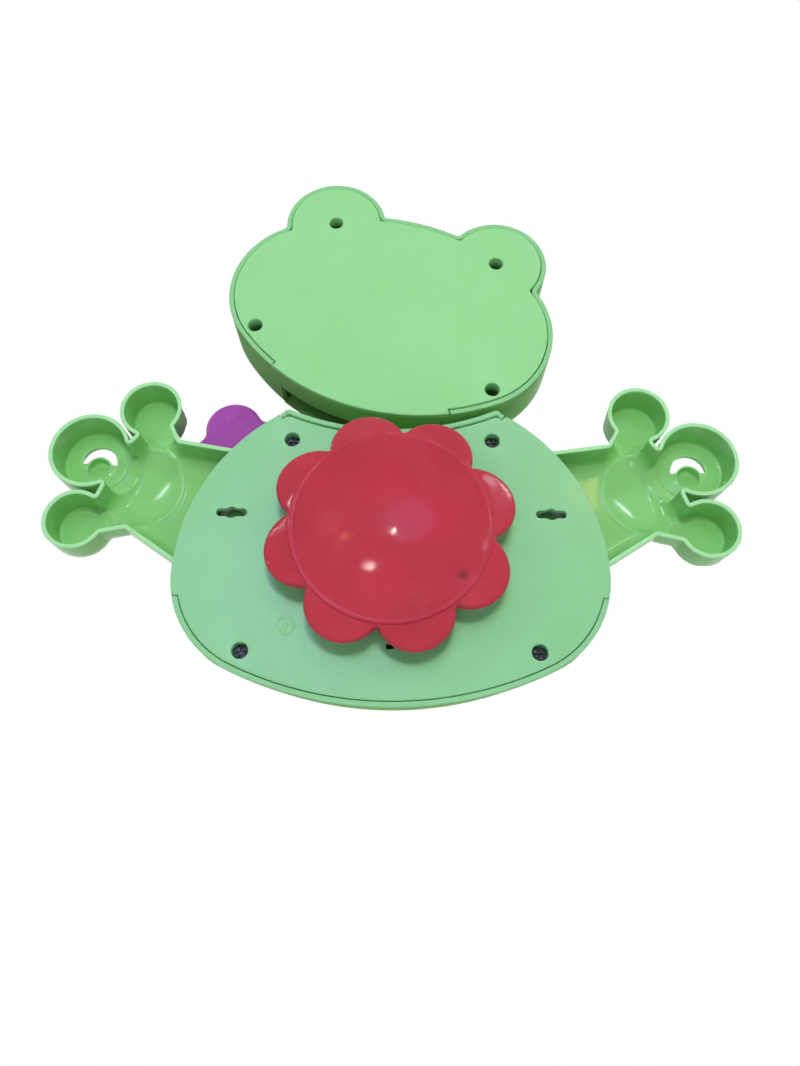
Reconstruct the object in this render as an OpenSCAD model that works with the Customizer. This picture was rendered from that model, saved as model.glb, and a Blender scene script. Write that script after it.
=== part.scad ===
// Frog bath toy on a suction flower. The head swings on the neck, both arms swing at the
// shoulders, the purple flower spins, the tummy button squeaks and the suction flower turns.
// Origin: centre of the suction rim. +Y points to the wall it sticks to, +Z is up, and +X is
// the frog's own left. Depths are counted from the rim towards the frog's front, along -Y.

/* [Suction flower] */
// Radius of the sealing rim
rim_r = 40; // [37:0.5:43]
// Width of the flat sealing lip
lip_w = 1.6; // [1:0.1:2.4]
// Thickness of the bowl's edge
lip_t = 1.8; // [1.2:0.1:3]
// Depth of the bowl at its centre
bowl_depth = 9; // [7:0.5:10]
// Number of petals
petal_count = 8; // [6:1:10]
// Radius of one petal
petal_r = 15.8; // [15:0.2:19]
// Distance from the axis to the middle of a petal
petal_pitch_r = 34.8; // [31:0.2:36]
// Turn of the first petal from the +X axis
petal_turn = 29.5; // [0:0.5:45]
// Depth of the petals' rear face
petal_depth = 3; // [2.6:0.1:4]
// Thickness of the petals
petal_t = 3; // [2.6:0.1:4]
// Length of the cone behind the petals
cup_cone_l = 6; // [5:0.2:7]
// Radius of that cone where it meets the stem
cup_cone_r = 12; // [10:0.5:14]
// Radius of the turning stem
stem_r = 8; // [7:0.2:9]
// Depth of the groove for the clip, from the stem's side
groove_d = 1.4; // [1:0.1:2]
// Thickness of the clip
clip_t = 1.8; // [1.2:0.1:2.4]
// Width of the clip's ring outside the stem
clip_w = 1.8; // [1.2:0.1:2.2]
// Length of the stem's knob behind the clip
knob_l = 4; // [3:0.2:6]

/* [Body] */
// Depth of the back plate's outer face
plate_depth = 17; // [15:0.5:20]
// Thickness of the back plates
plate_t = 3; // [2.4:0.1:4]
// Wall thickness of the shells
wall = 2.2; // [1.8:0.1:2.8]
// Half of the body's width
body_half_w = 88; // [86:0.5:92]
// Radius of the body's lower corners
body_corner_r = 44; // [40:0.5:47]
// Height from the widest line to the bottom
body_drop = 53.8; // [52:0.2:57]
// Height of the widest line
body_wide_z = -14; // [-16:0.2:-12]
// Radius of the shoulders
shoulder_r = 84; // [82:0.5:87]
// Radius of the hollow neckline
neckline_r = 110; // [100:1:125]
// Height of the neckline's lowest point
neckline_z = 49.8; // [48:0.2:51]
// Depth of the belly's front
body_front = 50; // [49:0.5:54]
// Radius of the belly's crown
belly_r = 455; // [400:5:600]
// Height of the belly's crown
belly_z = -8; // [-14:1:0]
// Draft of the body's bottom wall
belly_draft = 7; // [4:0.5:12]
// Lower end of the arm's gate, as an angle round the widest line's middle
gate_low = -7; // [-8:0.5:-4]
// Upper end of the arm's gate, as an angle round the widest line's middle
gate_high = 55.5; // [54:0.5:58]

/* [Screws] */
// Radius of the screw heads
screw_head_r = 2.7; // [2.4:0.1:3]
// Height of the screw heads
screw_head_h = 2; // [1.6:0.1:2.4]
// Radius of the screw shanks
screw_r = 1.5; // [1.2:0.1:1.8]
// Length of the screw shanks
screw_l = 10; // [8:0.5:11]
// Radius of the screw holes in the plates
sleeve_bore_r = 3.2; // [3.1:0.1:3.6]
// Radius of the screw sleeves and bosses
sleeve_r = 5; // [4.6:0.1:5.2]
// Thickness of a sleeve's floor
sleeve_floor = 2; // [1.6:0.1:3]
// Depth of the body's screw seats, from the plate's face
body_seat = 5.5; // [5:0.1:7]
// Depth of the head's screw seats, from the plate's face
head_seat = 16; // [14:0.5:18]
// Distance of the body's upper screws from its side
top_screw_in = 45.4; // [44:0.2:47]
// Height of the body's upper screws
top_screw_z = 45; // [44:0.2:46]
// Distance of the body's lower screws from its side
low_screw_in = 30; // [28:0.5:33]
// Height of the body's lower screws
low_screw_z = -46.4; // [-48:0.2:-44]

/* [Hanging slots and drain] */
// Distance of the slots and shoulders from the body's side
slot_in = 22.2; // [21:0.2:24]
// Height of the slots and shoulders
slot_z = 11.2; // [10:0.2:13]
// Length of a slot
slot_l = 12.5; // [10:0.5:13]
// Width of a slot
slot_w = 3.3; // [2.8:0.1:4]
// Radius of a slot's round middle
slot_eye_r = 2.5; // [2.2:0.1:3]
// Width of the drain hole
drain_w = 3; // [2:0.2:4]
// Height of the drain hole
drain_h = 2.2; // [1.6:0.2:3]
// Height of the drain hole's place
drain_z = -44.3; // [-46:0.2:-42]

/* [Arms] */
// Radius of the arm's root round the shoulder
root_r = 30; // [28:0.2:31]
// Distances from the shoulder out to the fingers
finger_x = [41.7, 65.2, 66]; // [38:0.1:68]
// Heights from the shoulder to the fingers
finger_z = [48.7, 27.7, -4.2]; // [-6:0.1:50]
// Radii of the fingers
finger_r = [13.5, 17.2, 13.1]; // [12:0.1:18]
// Distances from the shoulder out to the ends of the arm's straight walls, from below to above
web_x = [44, 59.4, 60.5, 54.5, 52.4, 42.9, 33.3, 27]; // [24:0.1:63]
// Heights from the shoulder to the ends of those walls
web_z = [-7.6, -11.2, 2.2, 21.3, 27.8, 40.5, 45.6, 34.2]; // [-14:0.1:48]
// Height of the arm's walls
arm_h = 15.6; // [14:0.2:17]
// Thickness of the arm's walls and floor
arm_wall = 2; // [1.6:0.1:2.4]
// Distance from the shoulder out to the palm's bowl
palm_bowl_x = 45.5; // [44:0.5:46]
// Height from the shoulder to the palm's bowl
palm_bowl_z = 17; // [16:0.5:18]
// Radius of the palm's bowl
palm_bowl_r = 18; // [16:0.1:18.4]
// How far the palm's bowl bulges to the front
palm_bulge = 4; // [3:0.2:5]
// Radius of the hole in the middle finger
finger_hole_r = 7.6; // [6.6:0.1:8.6]
// Radius of the tip of the tongue in that hole
tongue_r = 5.8; // [5.4:0.1:6.4]
// Height of the tongue's tip above the hole's middle
tongue_top = 3.2; // [2.6:0.1:3.6]
// Height of the hole's lower edge beside the tongue, from the hole's middle
tongue_foot = -0.3; // [-1:0.1:-0.1]
// Radius of the shoulder posts
post_r = 4; // [3.4:0.1:4.6]
// Radius of the arm's hub
hub_r = 9; // [8:0.2:10]
// Length of the wells behind the hanging slots
well_l = 5; // [4:0.2:6]
// Thickness of the shoulder washers
washer_t = 1; // [0.8:0.1:1.4]
// Turn of the left arm above its middle place
left_arm_turn = 2; // [-4:0.5:4]
// Turn of the right arm above its middle place
right_arm_turn = 0; // [-4:0.5:4]

/* [Purple flower] */
// Distance of the flower's axle from the body's side
wheel_in = 23; // [22:0.2:25]
// Height of the flower's axle
wheel_z = 36; // [34:0.2:37]
// Number of the flower's petals
wheel_petals = 5; // [4:1:6]
// Radius of one petal
wheel_petal_r = 13.6; // [13:0.2:15]
// Distance from the axle to the middle of a petal
wheel_pitch_r = 34; // [32:0.5:35]
// Radius of the flower's middle
wheel_mid_r = 36.5; // [34:0.5:38]
// Turn of the first petal from the +X axis
wheel_turn = 71.5; // [60:0.5:80]
// Thickness of the flower
wheel_t = 4; // [3:0.2:5]
// Radius of the axle
axle_r = 2.5; // [2:0.1:3]
// Radius of the axle's head
axle_head_r = 5; // [4.2:0.1:5.6]
// Height of the axle's head
axle_head_h = 2; // [1.6:0.1:2.6]
// Radius of the axle's boss on the body
axle_boss_r = 6; // [5.2:0.1:7]
// Radius of the cap
cap_r = 9; // [8.4:0.1:10]
// Height of the cap
cap_h = 5; // [4.6:0.1:6]
// Height of the cap's straight edge
cap_edge = 1.2; // [0.8:0.1:1.6]

/* [Squeaker] */
// Height of the tummy button's middle
button_z = -22; // [-24:0.2:-21]
// Radius of the tummy button
button_r = 20; // [18:0.5:21]
// How far the button stands out of the belly
button_out = 4; // [4:0.1:6]
// Radius of the button's crown
button_crown_r = 90; // [70:1:140]
// Width of the button's flange
flange_w = 2.6; // [2:0.1:3]
// Thickness of the button's flange
flange_t = 1.6; // [1.2:0.1:2]
// Depth that the belly's inside falls back at the flange
flange_back = 2; // [1.8:0.1:2.6]
// Travel of the button
button_travel = 5; // [4:0.2:6]
// Radius of the bellows
bellows_r = 10; // [9:0.2:10.4]
// Depth of one fold of the bellows
fold_d = 1.6; // [1.2:0.1:2]
// Wall of the bellows
bellows_wall = 1; // [0.8:0.1:1.3]
// Number of folds
fold_count = 5; // [4:1:6]
// Thickness of the bellows' seat
seat_t = 2.4; // [2:0.1:3]
// Height of the seat's ring above its floor
seat_ring_h = 4; // [3:0.2:5]
// Wall of the seat's ring
seat_ring_w = 1.1; // [0.8:0.1:1.4]
// Radius of the reed
reed_r = 3.6; // [3:0.1:4.2]
// Length of the reed
reed_l = 8; // [6:0.5:9]
// Width of the reed's slit
reed_slit = 1; // [0.8:0.1:1.4]

/* [Head] */
// Height of the head's pivot
head_z = 117.5; // [116.5:0.1:119]
// Tilt of the head about +Y, negative towards the frog's right
head_tilt = -17.1; // [-20:0.1:20]
// Half of the head's width
head_half_w = 75.5; // [73:0.5:78]
// Half of the head's height without the eyes
head_half_h = 52.2; // [51:0.2:53]
// Radius of the head's side arcs
head_end_r = 40; // [36:0.5:43]
// Height of the head's middle above the pivot
head_mid_z = -6.6; // [-7:0.1:-5]
// Distance of the eyes from the middle
eye_x = 39.5; // [38:0.2:41]
// Height of the eyes above the pivot
eye_z = 33.4; // [32:0.2:35]
// Radius of the eye bumps
eye_bump_r = 23.5; // [22.5:0.1:25]
// Depth of the face's front
head_front = 56; // [54:0.5:60]
// Radius of the face's crown
face_r = 208; // [190:2:240]
// Half angle of the neck's opening, round the pivot
slot_half_a = 37; // [34:0.5:39]
// Room in that opening in front of the neck
slot_spare = 4.8; // [0.3:0.1:5]
// Half angle of the plate's tab over that opening, round the pivot
tab_half_a = 40; // [39.5:0.5:43]
// Length of the skirt below the head's plate
skirt_l = 12; // [10:0.2:12.6]
// Distance of the head's lower screws from the middle
head_screw_x = 55.5; // [53:0.5:57]
// Height of the head's lower screws above the pivot
head_screw_z = -32.4; // [-34:0.2:-30]
// Radius of the mouth's line, round the face's middle
mouth_r = 40; // [36:0.5:44]
// Radius of the mouth's groove
mouth_groove_r = 1.4; // [1:0.1:1.8]
// Half angle of the mouth's line
mouth_half_a = 62; // [50:1:70]
// Distance of the nostrils from the middle
nostril_x = 8; // [6:0.5:10]
// Radius of a nostril
nostril_r = 1.8; // [1.4:0.1:2.2]
// Height of the nostrils above the pivot
nostril_z = 8; // [6:0.5:10]

/* [Neck and pivot] */
// Half of the neck's width
neck_half_w = 14; // [12:0.5:15]
// Thickness of the neck
neck_t = 8; // [7:0.2:9]
// Depth of the neck behind the plates' inner faces
neck_in = 13.2; // [12.6:0.1:14]
// Height of the neck's lower end
neck_foot_z = 24; // [22:0.5:26]
// Radius of the eye at the neck's top
neck_eye_r = 14; // [12:0.5:15]
// Radius of the head's pivot pin
pin_r = 4; // [3.4:0.1:4.6]
// Radius of the bosses that hold the pin
pin_boss_r = 8; // [7:0.2:9]
// Distance of the neck's screws from the middle
neck_screw_x = 8.5; // [7:0.5:8.5]
// Height of the neck's screws
neck_screw_z = 34; // [33:0.5:38]

/* [Eyes] */
// Radius of the white of an eye
eye_r = 15; // [13:0.5:16]
// Height of the white's edge
eye_edge = 2.6; // [2:0.1:3.4]
// How far the white bulges
eye_bulge = 5; // [4:0.2:6]
// Depth of the eye pad's face
eye_pad_depth = 51; // [50:0.5:53]
// Width of the pad's ring round the white
eye_ring_w = 3; // [2:0.2:4]
// Depth of the eye's pocket
eye_pocket = 2.4; // [1.6:0.1:3]
// Radius of a pupil
pupil_r = 7; // [6:0.2:8]
// Depth of the pupil's pocket below the white's top
pupil_pocket = 2.6; // [2:0.1:3.2]
// How far the pupil stands out of the white
pupil_out = 0.4; // [0.2:0.1:0.8]

/* [Fits] */
// Gap along a seam between fixed pieces
seam = 0.3; // [0.2:0.05:0.4]
// Gap between moving pieces
play = 0.3; // [0.3:0.05:0.5]
// Radial running clearance of pins and posts
run_fit = 0.07; // [0.04:0.01:0.1]
// Radial clearance of what is pushed in and stays
push_fit = 0.02; // [0.01:0.01:0.04]

/* [Hidden] */
$fn = 96;
// Overrun of every cut past the face that it opens
over = 1;
// Points along each arc of an outline
arc_steps = 14;
// Sides of the large crowned surfaces
crown_fn = 480;
// Length that reaches past any outline
far = 4 * body_half_w;

frog_green = "#8edb8c";
deep_green = "#6fbf58";
petal_red = "#c8324a";
lilac = "#b54fc0";
steel = "#9aa0a6";
soft_white = "#f4f4ee";
ink = "#1c1c1e";
sun_yellow = "#f2c53d";
milk = "#d9dcd2";

// Depths that follow from the driving ones
plate_in = plate_depth + plate_t;
petal_front = petal_depth + petal_t;
cup_front = petal_front + cup_cone_l;
arm_rim = plate_in + play;
arm_front = arm_rim + arm_h;
arm_floor = arm_front - arm_wall;
gate_front = arm_front + 2 * play;
well_end = plate_in + well_l;
washer_end = well_end + washer_t;
hub_rear = washer_end + play;
body_seat_depth = plate_depth + body_seat;
body_sleeve_end = body_seat_depth + sleeve_floor;
head_seat_depth = plate_depth + head_seat;
head_sleeve_end = head_seat_depth + sleeve_floor;
neck_rear = plate_in + neck_in;
neck_front = neck_rear + neck_t;
wheel_rear = body_front + play;
wheel_front = wheel_rear + wheel_t;
flange_front = body_front - wall - flange_back;
flange_rear = flange_front - flange_t;
button_front = body_front + button_out;
seat_front = plate_in + seat_t;
bellows_front = flange_rear - play;
clip_rear = plate_in + play;
clip_front = clip_rear + clip_t;
stem_end = clip_front + knob_l;
axle_rear = gate_front + play;

// Places that keep their distance from the body's side
top_screw_x = body_half_w - top_screw_in;
low_screw_x = body_half_w - low_screw_in;
slot_x = body_half_w - slot_in;
wheel_x = body_half_w - wheel_in;

// Angles and centres of the body's outline, round the widest line's middle
body_corner_x = body_half_w - body_corner_r;
body_shoulder_x = body_half_w - shoulder_r;
bottom_r = (pow(body_corner_x, 2) + pow(body_drop, 2) - pow(body_corner_r, 2))
    / (2 * (body_drop - body_corner_r));
bottom_z = bottom_r - body_drop;
bottom_a = atan2(-bottom_z, body_corner_x);

// Angles and centres of the head's oval, round its own middle
head_end_x = head_half_w - head_end_r;
brow_r = (pow(head_end_x, 2) + pow(head_half_h, 2) - pow(head_end_r, 2))
    / (2 * (head_half_h - head_end_r));
brow_z = brow_r - head_half_h;
brow_a = atan2(-brow_z, head_end_x);

// Points along an arc, without its first one, so that arcs can follow each other
function arc(centre, r, from, to) = [
    for (i = [1:arc_steps])
        let (a = from + (to - from) * i / arc_steps)
            centre + r * [cos(a), sin(a)]
];

// Depth of the belly's crowned face at a place
function belly_depth(x, z) = body_front - belly_r + sqrt(pow(belly_r, 2) - pow(x, 2) - pow(z - belly_z, 2));

// Extrudes a flat outline, drawn in X and Z, between two depths
module slab(from, to) {
    translate([0, -from, 0])
        rotate([90, 0, 0])
            linear_extrude(to - from)
                children();
}

// Round bar along the depth
module rod(r, from, to) {
    translate([0, -from, 0])
        rotate([90, 0, 0])
            cylinder(r = r, h = to - from);
}

// Turns a profile, drawn as radius and depth, round the depth axis
module turned() {
    rotate([90, 0, 0])
        rotate_extrude()
            children();
}

// Round button with a crowned front
module crowned_rod(r, from, to, crown_r) {
    turned()
        intersection() {
            translate([0, from])
                square([r, to - from]);
            translate([0, to - crown_r])
                circle(crown_r);
        }
}

module place(x, z) {
    translate([x, 0, z])
        children();
}

module both_sides() {
    for (side = [-1, 1])
        to_side(side)
            children();
}

// Mirrors to the frog's right when side is negative
module to_side(side) {
    mirror([side < 0 ? 1 : 0, 0, 0])
        children();
}

module head_frame() {
    place(0, head_z)
        rotate([0, head_tilt, 0])
            children();
}

// Wedge of directions between two angles
module sector(from, to) {
    polygon([[0, 0], far * [cos(from), sin(from)], far * [cos(to), sin(to)]]);
}

module body_outline(inset) {
    translate([0, body_wide_z])
        difference() {
            polygon(concat(
                arc([0, bottom_z], bottom_r - inset, -180 - bottom_a, bottom_a),
                arc([body_corner_x, 0], body_corner_r - inset, bottom_a, 0),
                arc([body_shoulder_x, 0], shoulder_r - inset, 0, 90),
                arc([-body_shoulder_x, 0], shoulder_r - inset, 90, 180),
                arc([-body_corner_x, 0], body_corner_r - inset, 180, 180 - bottom_a)));
            translate([0, neckline_z - body_wide_z + neckline_r])
                circle(neckline_r + inset);
        }
}

// The two stretches of the outline where an arm comes out
module arm_gates() {
    translate([0, body_wide_z])
        for (side = [0, 1])
            mirror([side, 0])
                sector(gate_low, gate_high);
}

module head_outline(inset) {
    translate([0, head_mid_z])
        polygon(concat(
            arc([0, brow_z], brow_r - inset, -180 - brow_a, brow_a),
            arc([head_end_x, 0], head_end_r - inset, brow_a, -brow_a),
            arc([0, -brow_z], brow_r - inset, -brow_a, 180 + brow_a),
            arc([-head_end_x, 0], head_end_r - inset, 180 + brow_a, 180 - brow_a)));
    for (side = [-1, 1])
        translate([side * eye_x, eye_z])
            circle(eye_bump_r - inset);
}

// The stretch of the head's outline that the neck swings in
module neck_gate(half_a) {
    sector(-90 - half_a, -90 + half_a);
}

// Plate that fits inside a rim, and covers the rim inside a gate (second child)
module lid_outline() {
    children(0);
    intersection() {
        children(1);
        children(2);
    }
}

module body_lid_outline() {
    lid_outline() {
        body_outline(wall + seam);
        body_outline(0);
        arm_gates();
    }
}

module head_lid_outline() {
    lid_outline() {
        head_outline(wall + seam);
        head_outline(0);
        neck_gate(tab_half_a - atan(seam / head_half_h));
    }
}

// Solid body with a crowned front and a drafted bottom, shrunk evenly by inset
module belly_form(inset, from) {
    draft_l = body_front - from + over;
    draft_r = bottom_r - inset + (plate_in - from) * tan(belly_draft);
    draft_end_r = draft_r - draft_l * tan(belly_draft);
    intersection() {
        slab(from, body_front)
            body_outline(inset);
        translate([0, -from, body_wide_z + bottom_z])
            rotate([90, 0, 0])
                cylinder(r1 = draft_r, r2 = draft_end_r, h = draft_l, $fn = crown_fn);
        translate([0, belly_r - body_front, belly_z])
            sphere(belly_r - inset, $fn = crown_fn);
    }
}

module face_form(inset, from) {
    intersection() {
        slab(from, head_front)
            head_outline(inset);
        translate([0, face_r - head_front, head_mid_z])
            sphere(face_r - inset, $fn = crown_fn);
    }
}

module body_screw_places() {
    both_sides() {
        place(top_screw_x, top_screw_z)
            children();
        place(low_screw_x, low_screw_z)
            children();
    }
}

module head_screw_places() {
    both_sides() {
        place(eye_x, eye_z)
            children();
        place(head_screw_x, head_screw_z)
            children();
    }
}

module neck_screw_places() {
    both_sides()
        place(neck_screw_x, neck_screw_z)
            children();
}

// Cross-head screw whose head rests on a seat
module screw(seat) {
    slot_share = 0.3;
    difference() {
        rod(screw_head_r, seat - screw_head_h, seat);
        for (turn = [0, 90])
            rotate([0, turn, 0])
                slab(seat - screw_head_h - over, seat - screw_head_h / 2)
                    square([screw_head_r + screw_r, screw_head_r * slot_share], center = true);
    }
    rod(screw_r, seat, seat + screw_l);
}

// Hole for a screw through a sleeve, open to the plate's face
module sleeve_hole(seat) {
    rod(sleeve_bore_r, plate_depth - over, seat);
    rod(screw_r + seam, seat - over, seat + sleeve_floor + over);
}

module suction_flower() {
    mouth_r = rim_r - lip_w;
    bowl_r = (pow(mouth_r, 2) + pow(bowl_depth, 2)) / (2 * bowl_depth);
    neck_share = 0.85;
    color(petal_red) {
        turned()
            difference() {
                polygon([[0, 0], [rim_r, 0], [rim_r, lip_t], [rim_r * neck_share, petal_depth],
                         [rim_r * neck_share, petal_front], [cup_cone_r, cup_front], [0, cup_front]]);
                translate([0, bowl_depth - bowl_r])
                    circle(bowl_r);
            }
        difference() {
            slab(petal_depth, petal_front)
                for (i = [0:petal_count - 1])
                    rotate(petal_turn + i * 360 / petal_count)
                        translate([petal_pitch_r, 0])
                            circle(petal_r);
            rod(rim_r * neck_share - over, 0, petal_front + over);
        }
        rod(stem_r, cup_front, clip_rear);
        rod(stem_r - groove_d, clip_rear, clip_front);
        rod(stem_r, clip_front, stem_end);
    }
}

module suction_clip() {
    color(milk)
        difference() {
            rod(stem_r + clip_w, clip_rear, clip_front);
            rod(stem_r - groove_d + push_fit, clip_rear - over, clip_front + over);
        }
}

module hanging_slot() {
    square([slot_l - slot_w, slot_w], center = true);
    for (side = [-1, 1])
        translate([side * (slot_l - slot_w) / 2, 0])
            circle(slot_w / 2);
    circle(slot_eye_r);
}

module body_back_plate() {
    color(frog_green)
        difference() {
            union() {
                slab(plate_depth, plate_in)
                    body_lid_outline();
                body_screw_places()
                    rod(sleeve_r, plate_depth + over, body_sleeve_end);
                both_sides()
                    place(slot_x, slot_z)
                        rod(hub_r, plate_depth + over, well_end);
            }
            body_screw_places()
                sleeve_hole(body_seat_depth);
            both_sides()
                place(slot_x, slot_z) {
                    rod(hub_r - wall, plate_in, well_end + over);
                    slab(plate_depth - over, plate_in + over)
                        hanging_slot();
                }
            rod(stem_r + run_fit, plate_depth - over, plate_in + over);
            slab(plate_depth - over, plate_in + over)
                translate([0, drain_z])
                    square([drain_w, drain_h], center = true);
            place(0, button_z)
                rod(reed_slit, plate_depth - over, plate_in + over);
        }
}

// Bosses inside the front half: for screws, shoulders, the flower's axle and the neck
module belly_bosses() {
    intersection() {
        union() {
            body_screw_places()
                rod(sleeve_r, body_sleeve_end, body_front);
            both_sides()
                place(slot_x, slot_z) {
                    rod(post_r, well_end + play, body_front);
                    rod(hub_r, arm_front + play, body_front);
                }
            place(wheel_x, wheel_z)
                rod(axle_boss_r, gate_front, body_front);
            neck_screw_places()
                rod(sleeve_r, neck_front, body_front);
            place(0, button_z)
                rod(button_r + flange_w + play + wall, flange_rear - button_travel, body_front);
        }
        belly_form(0, plate_in);
    }
    place(wheel_x, wheel_z)
        rod(axle_boss_r, belly_depth(wheel_x, wheel_z) - wall, body_front);
}

module body_front_shell() {
    color(frog_green)
        difference() {
            union() {
                difference() {
                    belly_form(0, plate_depth);
                    belly_form(wall, plate_depth - over);
                }
                belly_bosses();
            }
            slab(plate_depth - over, gate_front)
                difference() {
                    arm_gates();
                    body_outline(wall + seam);
                }
            slab(neck_rear - seam, neck_front + seam)
                translate([-neck_half_w - seam, neckline_z - 2 * wall])
                    square([2 * (neck_half_w + seam), neck_eye_r + 2 * wall]);
            place(0, button_z) {
                rod(button_r + play, flange_rear, body_front + over);
                rod(button_r + flange_w + play, flange_rear - button_travel - over, flange_front + play);
            }
            place(wheel_x, wheel_z)
                rod(axle_r + push_fit, axle_rear, body_front + over);
            body_screw_places()
                rod(screw_r + push_fit, body_sleeve_end - over, body_seat_depth + screw_l + play);
            neck_screw_places()
                rod(screw_r + push_fit, neck_front - over, neck_rear + screw_l + play);
        }
}

module body_screws() {
    color(steel)
        body_screw_places()
            screw(body_seat_depth);
}

module neck_post() {
    color(deep_green)
        difference() {
            slab(neck_rear, neck_front) {
                translate([-neck_half_w, neck_foot_z])
                    square([2 * neck_half_w, head_z - neck_foot_z]);
                translate([0, head_z])
                    circle(neck_eye_r);
            }
            place(0, head_z)
                rod(pin_r + run_fit, neck_rear - over, neck_front + over);
            neck_screw_places()
                rod(screw_r + push_fit, neck_rear - over, neck_front + over);
        }
}

module neck_screws() {
    color(steel)
        neck_screw_places()
            screw(neck_rear);
}

module tummy_button() {
    color(milk)
        place(0, button_z) {
            crowned_rod(button_r, flange_rear, button_front, button_crown_r);
            rod(button_r + flange_w, flange_rear, flange_front);
        }
}

// Zigzag side of the bellows, at a radius that is shrunk by inset
function bellows_side(inset, rear, front) = [
    for (i = [0:2 * fold_count])
        [bellows_r - inset - (i % 2) * fold_d, rear + (front - rear) * i / (2 * fold_count)]
];

module squeaker_bellows() {
    inner_rear = seat_front - over;
    inner_front = bellows_front - bellows_wall;
    color(soft_white)
        place(0, button_z)
            turned()
                difference() {
                    polygon(concat([[0, bellows_front], [0, seat_front]],
                                   bellows_side(0, seat_front, bellows_front)));
                    polygon(concat([[0, inner_front], [0, inner_rear]],
                                   bellows_side(bellows_wall, inner_rear, inner_front)));
                }
}

module squeaker_reed() {
    color(milk)
        place(0, button_z)
            difference() {
                rod(reed_r, plate_in, plate_in + reed_l);
                slab(plate_in + reed_slit, plate_in + reed_l + over)
                    square([reed_r, reed_slit], center = true);
                rod(reed_slit, plate_in - over, plate_in + reed_l / 2);
            }
}

module squeaker_seat() {
    ring_r = bellows_r + play;
    color(deep_green)
        place(0, button_z)
            difference() {
                rod(ring_r + seat_ring_w, plate_in, seat_front + seat_ring_h);
                rod(ring_r, seat_front, seat_front + seat_ring_h + over);
                rod(reed_r + push_fit, plate_in - over, seat_front + over);
            }
}

// Way to the left of the line from a to b
function left_of(a, b) = [a[1] - b[1], b[0] - a[0]] / norm(b - a);

// Way that a corner moves when both lines that meet there move to their left
function mitre(a, corner, b) =
    (left_of(a, corner) + left_of(corner, b)) / (1 + left_of(a, corner) * left_of(corner, b));

// Root of the arm, and the straight walls from it to the fingers and between them
module arm_web(inset) {
    ends = [for (i = [0:len(web_x) - 1]) [web_x[i], web_z[i]]];
    fingers = [for (i = [0:len(finger_r) - 1]) [finger_x[i], finger_z[i]]];
    low_a = atan2(web_z[0], web_x[0]) - acos(root_r / norm(ends[0]));
    high_a = atan2(web_z[7], web_x[7]) + acos(root_r / norm(ends[7]));
    low = root_r * [cos(low_a), sin(low_a)];
    high = root_r * [cos(high_a), sin(high_a)];
    polygon(concat(
        arc([0, 0], root_r - inset, high_a, low_a + 360),
        [
            ends[0] + inset * mitre(low, ends[0], ends[1]),
            ends[1] + inset * left_of(ends[0], ends[1]),
            fingers[2],
            ends[2] + inset * left_of(ends[2], ends[3]),
            ends[3] + inset * left_of(ends[2], ends[3]),
            fingers[1],
            ends[4] + inset * left_of(ends[4], ends[5]),
            ends[5] + inset * left_of(ends[4], ends[5]),
            fingers[0],
            ends[6] + inset * left_of(ends[6], ends[7]),
            ends[7] + inset * mitre(ends[6], ends[7], high)
        ]));
}

module arm_outline(inset) {
    arm_web(inset);
    for (i = [0:len(finger_r) - 1])
        translate([finger_x[i], finger_z[i]])
            circle(finger_r[i] - inset);
}

// The hole in the middle finger, with a tongue that stands up in it
module finger_eye() {
    difference() {
        circle(finger_hole_r);
        translate([0, tongue_top - tongue_r])
            circle(tongue_r);
        translate([-finger_hole_r, -finger_hole_r])
            square([2 * finger_hole_r, finger_hole_r + tongue_foot]);
    }
}

// Ball whose cap is the palm's bowl, cut off behind a depth and at the arm's walls
module palm_ball(inset, from) {
    ball_r = (pow(palm_bowl_r, 2) + pow(palm_bulge, 2)) / (2 * palm_bulge);
    intersection() {
        place(palm_bowl_x, palm_bowl_z)
            crowned_rod(palm_bowl_r, from, arm_front + palm_bulge - inset, ball_r - inset);
        slab(from, arm_front + palm_bulge)
            arm_outline(inset);
    }
}

module arm() {
    middle = 1;
    difference() {
        union() {
            difference() {
                union() {
                    slab(arm_rim, arm_front)
                        arm_outline(0);
                    palm_ball(0, arm_floor);
                }
                slab(arm_rim - over, arm_floor)
                    arm_outline(arm_wall);
                palm_ball(arm_wall, arm_floor - over);
            }
            rod(hub_r, hub_rear, arm_front);
        }
        rod(post_r + run_fit, hub_rear - over, arm_front + over);
        place(finger_x[middle], finger_z[middle])
            slab(arm_floor - over, arm_front + over)
                finger_eye();
    }
}

module left_arm() {
    color(frog_green)
        place(slot_x, slot_z)
            rotate([0, -left_arm_turn, 0])
                arm();
}

module right_arm() {
    color(frog_green)
        mirror([1, 0, 0])
            place(slot_x, slot_z)
                rotate([0, -right_arm_turn, 0])
                    arm();
}

module shoulder_washers() {
    color(milk)
        both_sides()
            place(slot_x, slot_z)
                difference() {
                    rod(hub_r, well_end, washer_end);
                    rod(post_r + play, well_end - over, washer_end + over);
                }
}

module flower_wheel() {
    color(lilac)
        place(wheel_x, wheel_z)
            difference() {
                slab(wheel_rear, wheel_front) {
                    circle(wheel_mid_r);
                    for (i = [0:wheel_petals - 1])
                        rotate(wheel_turn + i * 360 / wheel_petals)
                            translate([wheel_pitch_r, 0])
                                circle(wheel_petal_r);
                }
                rod(axle_r + run_fit, wheel_rear - over, wheel_front + over);
            }
}

module wheel_axle() {
    head_rear = wheel_front + play;
    color(steel)
        place(wheel_x, wheel_z) {
            rod(axle_r, axle_rear, head_rear);
            rod(axle_head_r, head_rear, head_rear + axle_head_h);
        }
}

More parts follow.
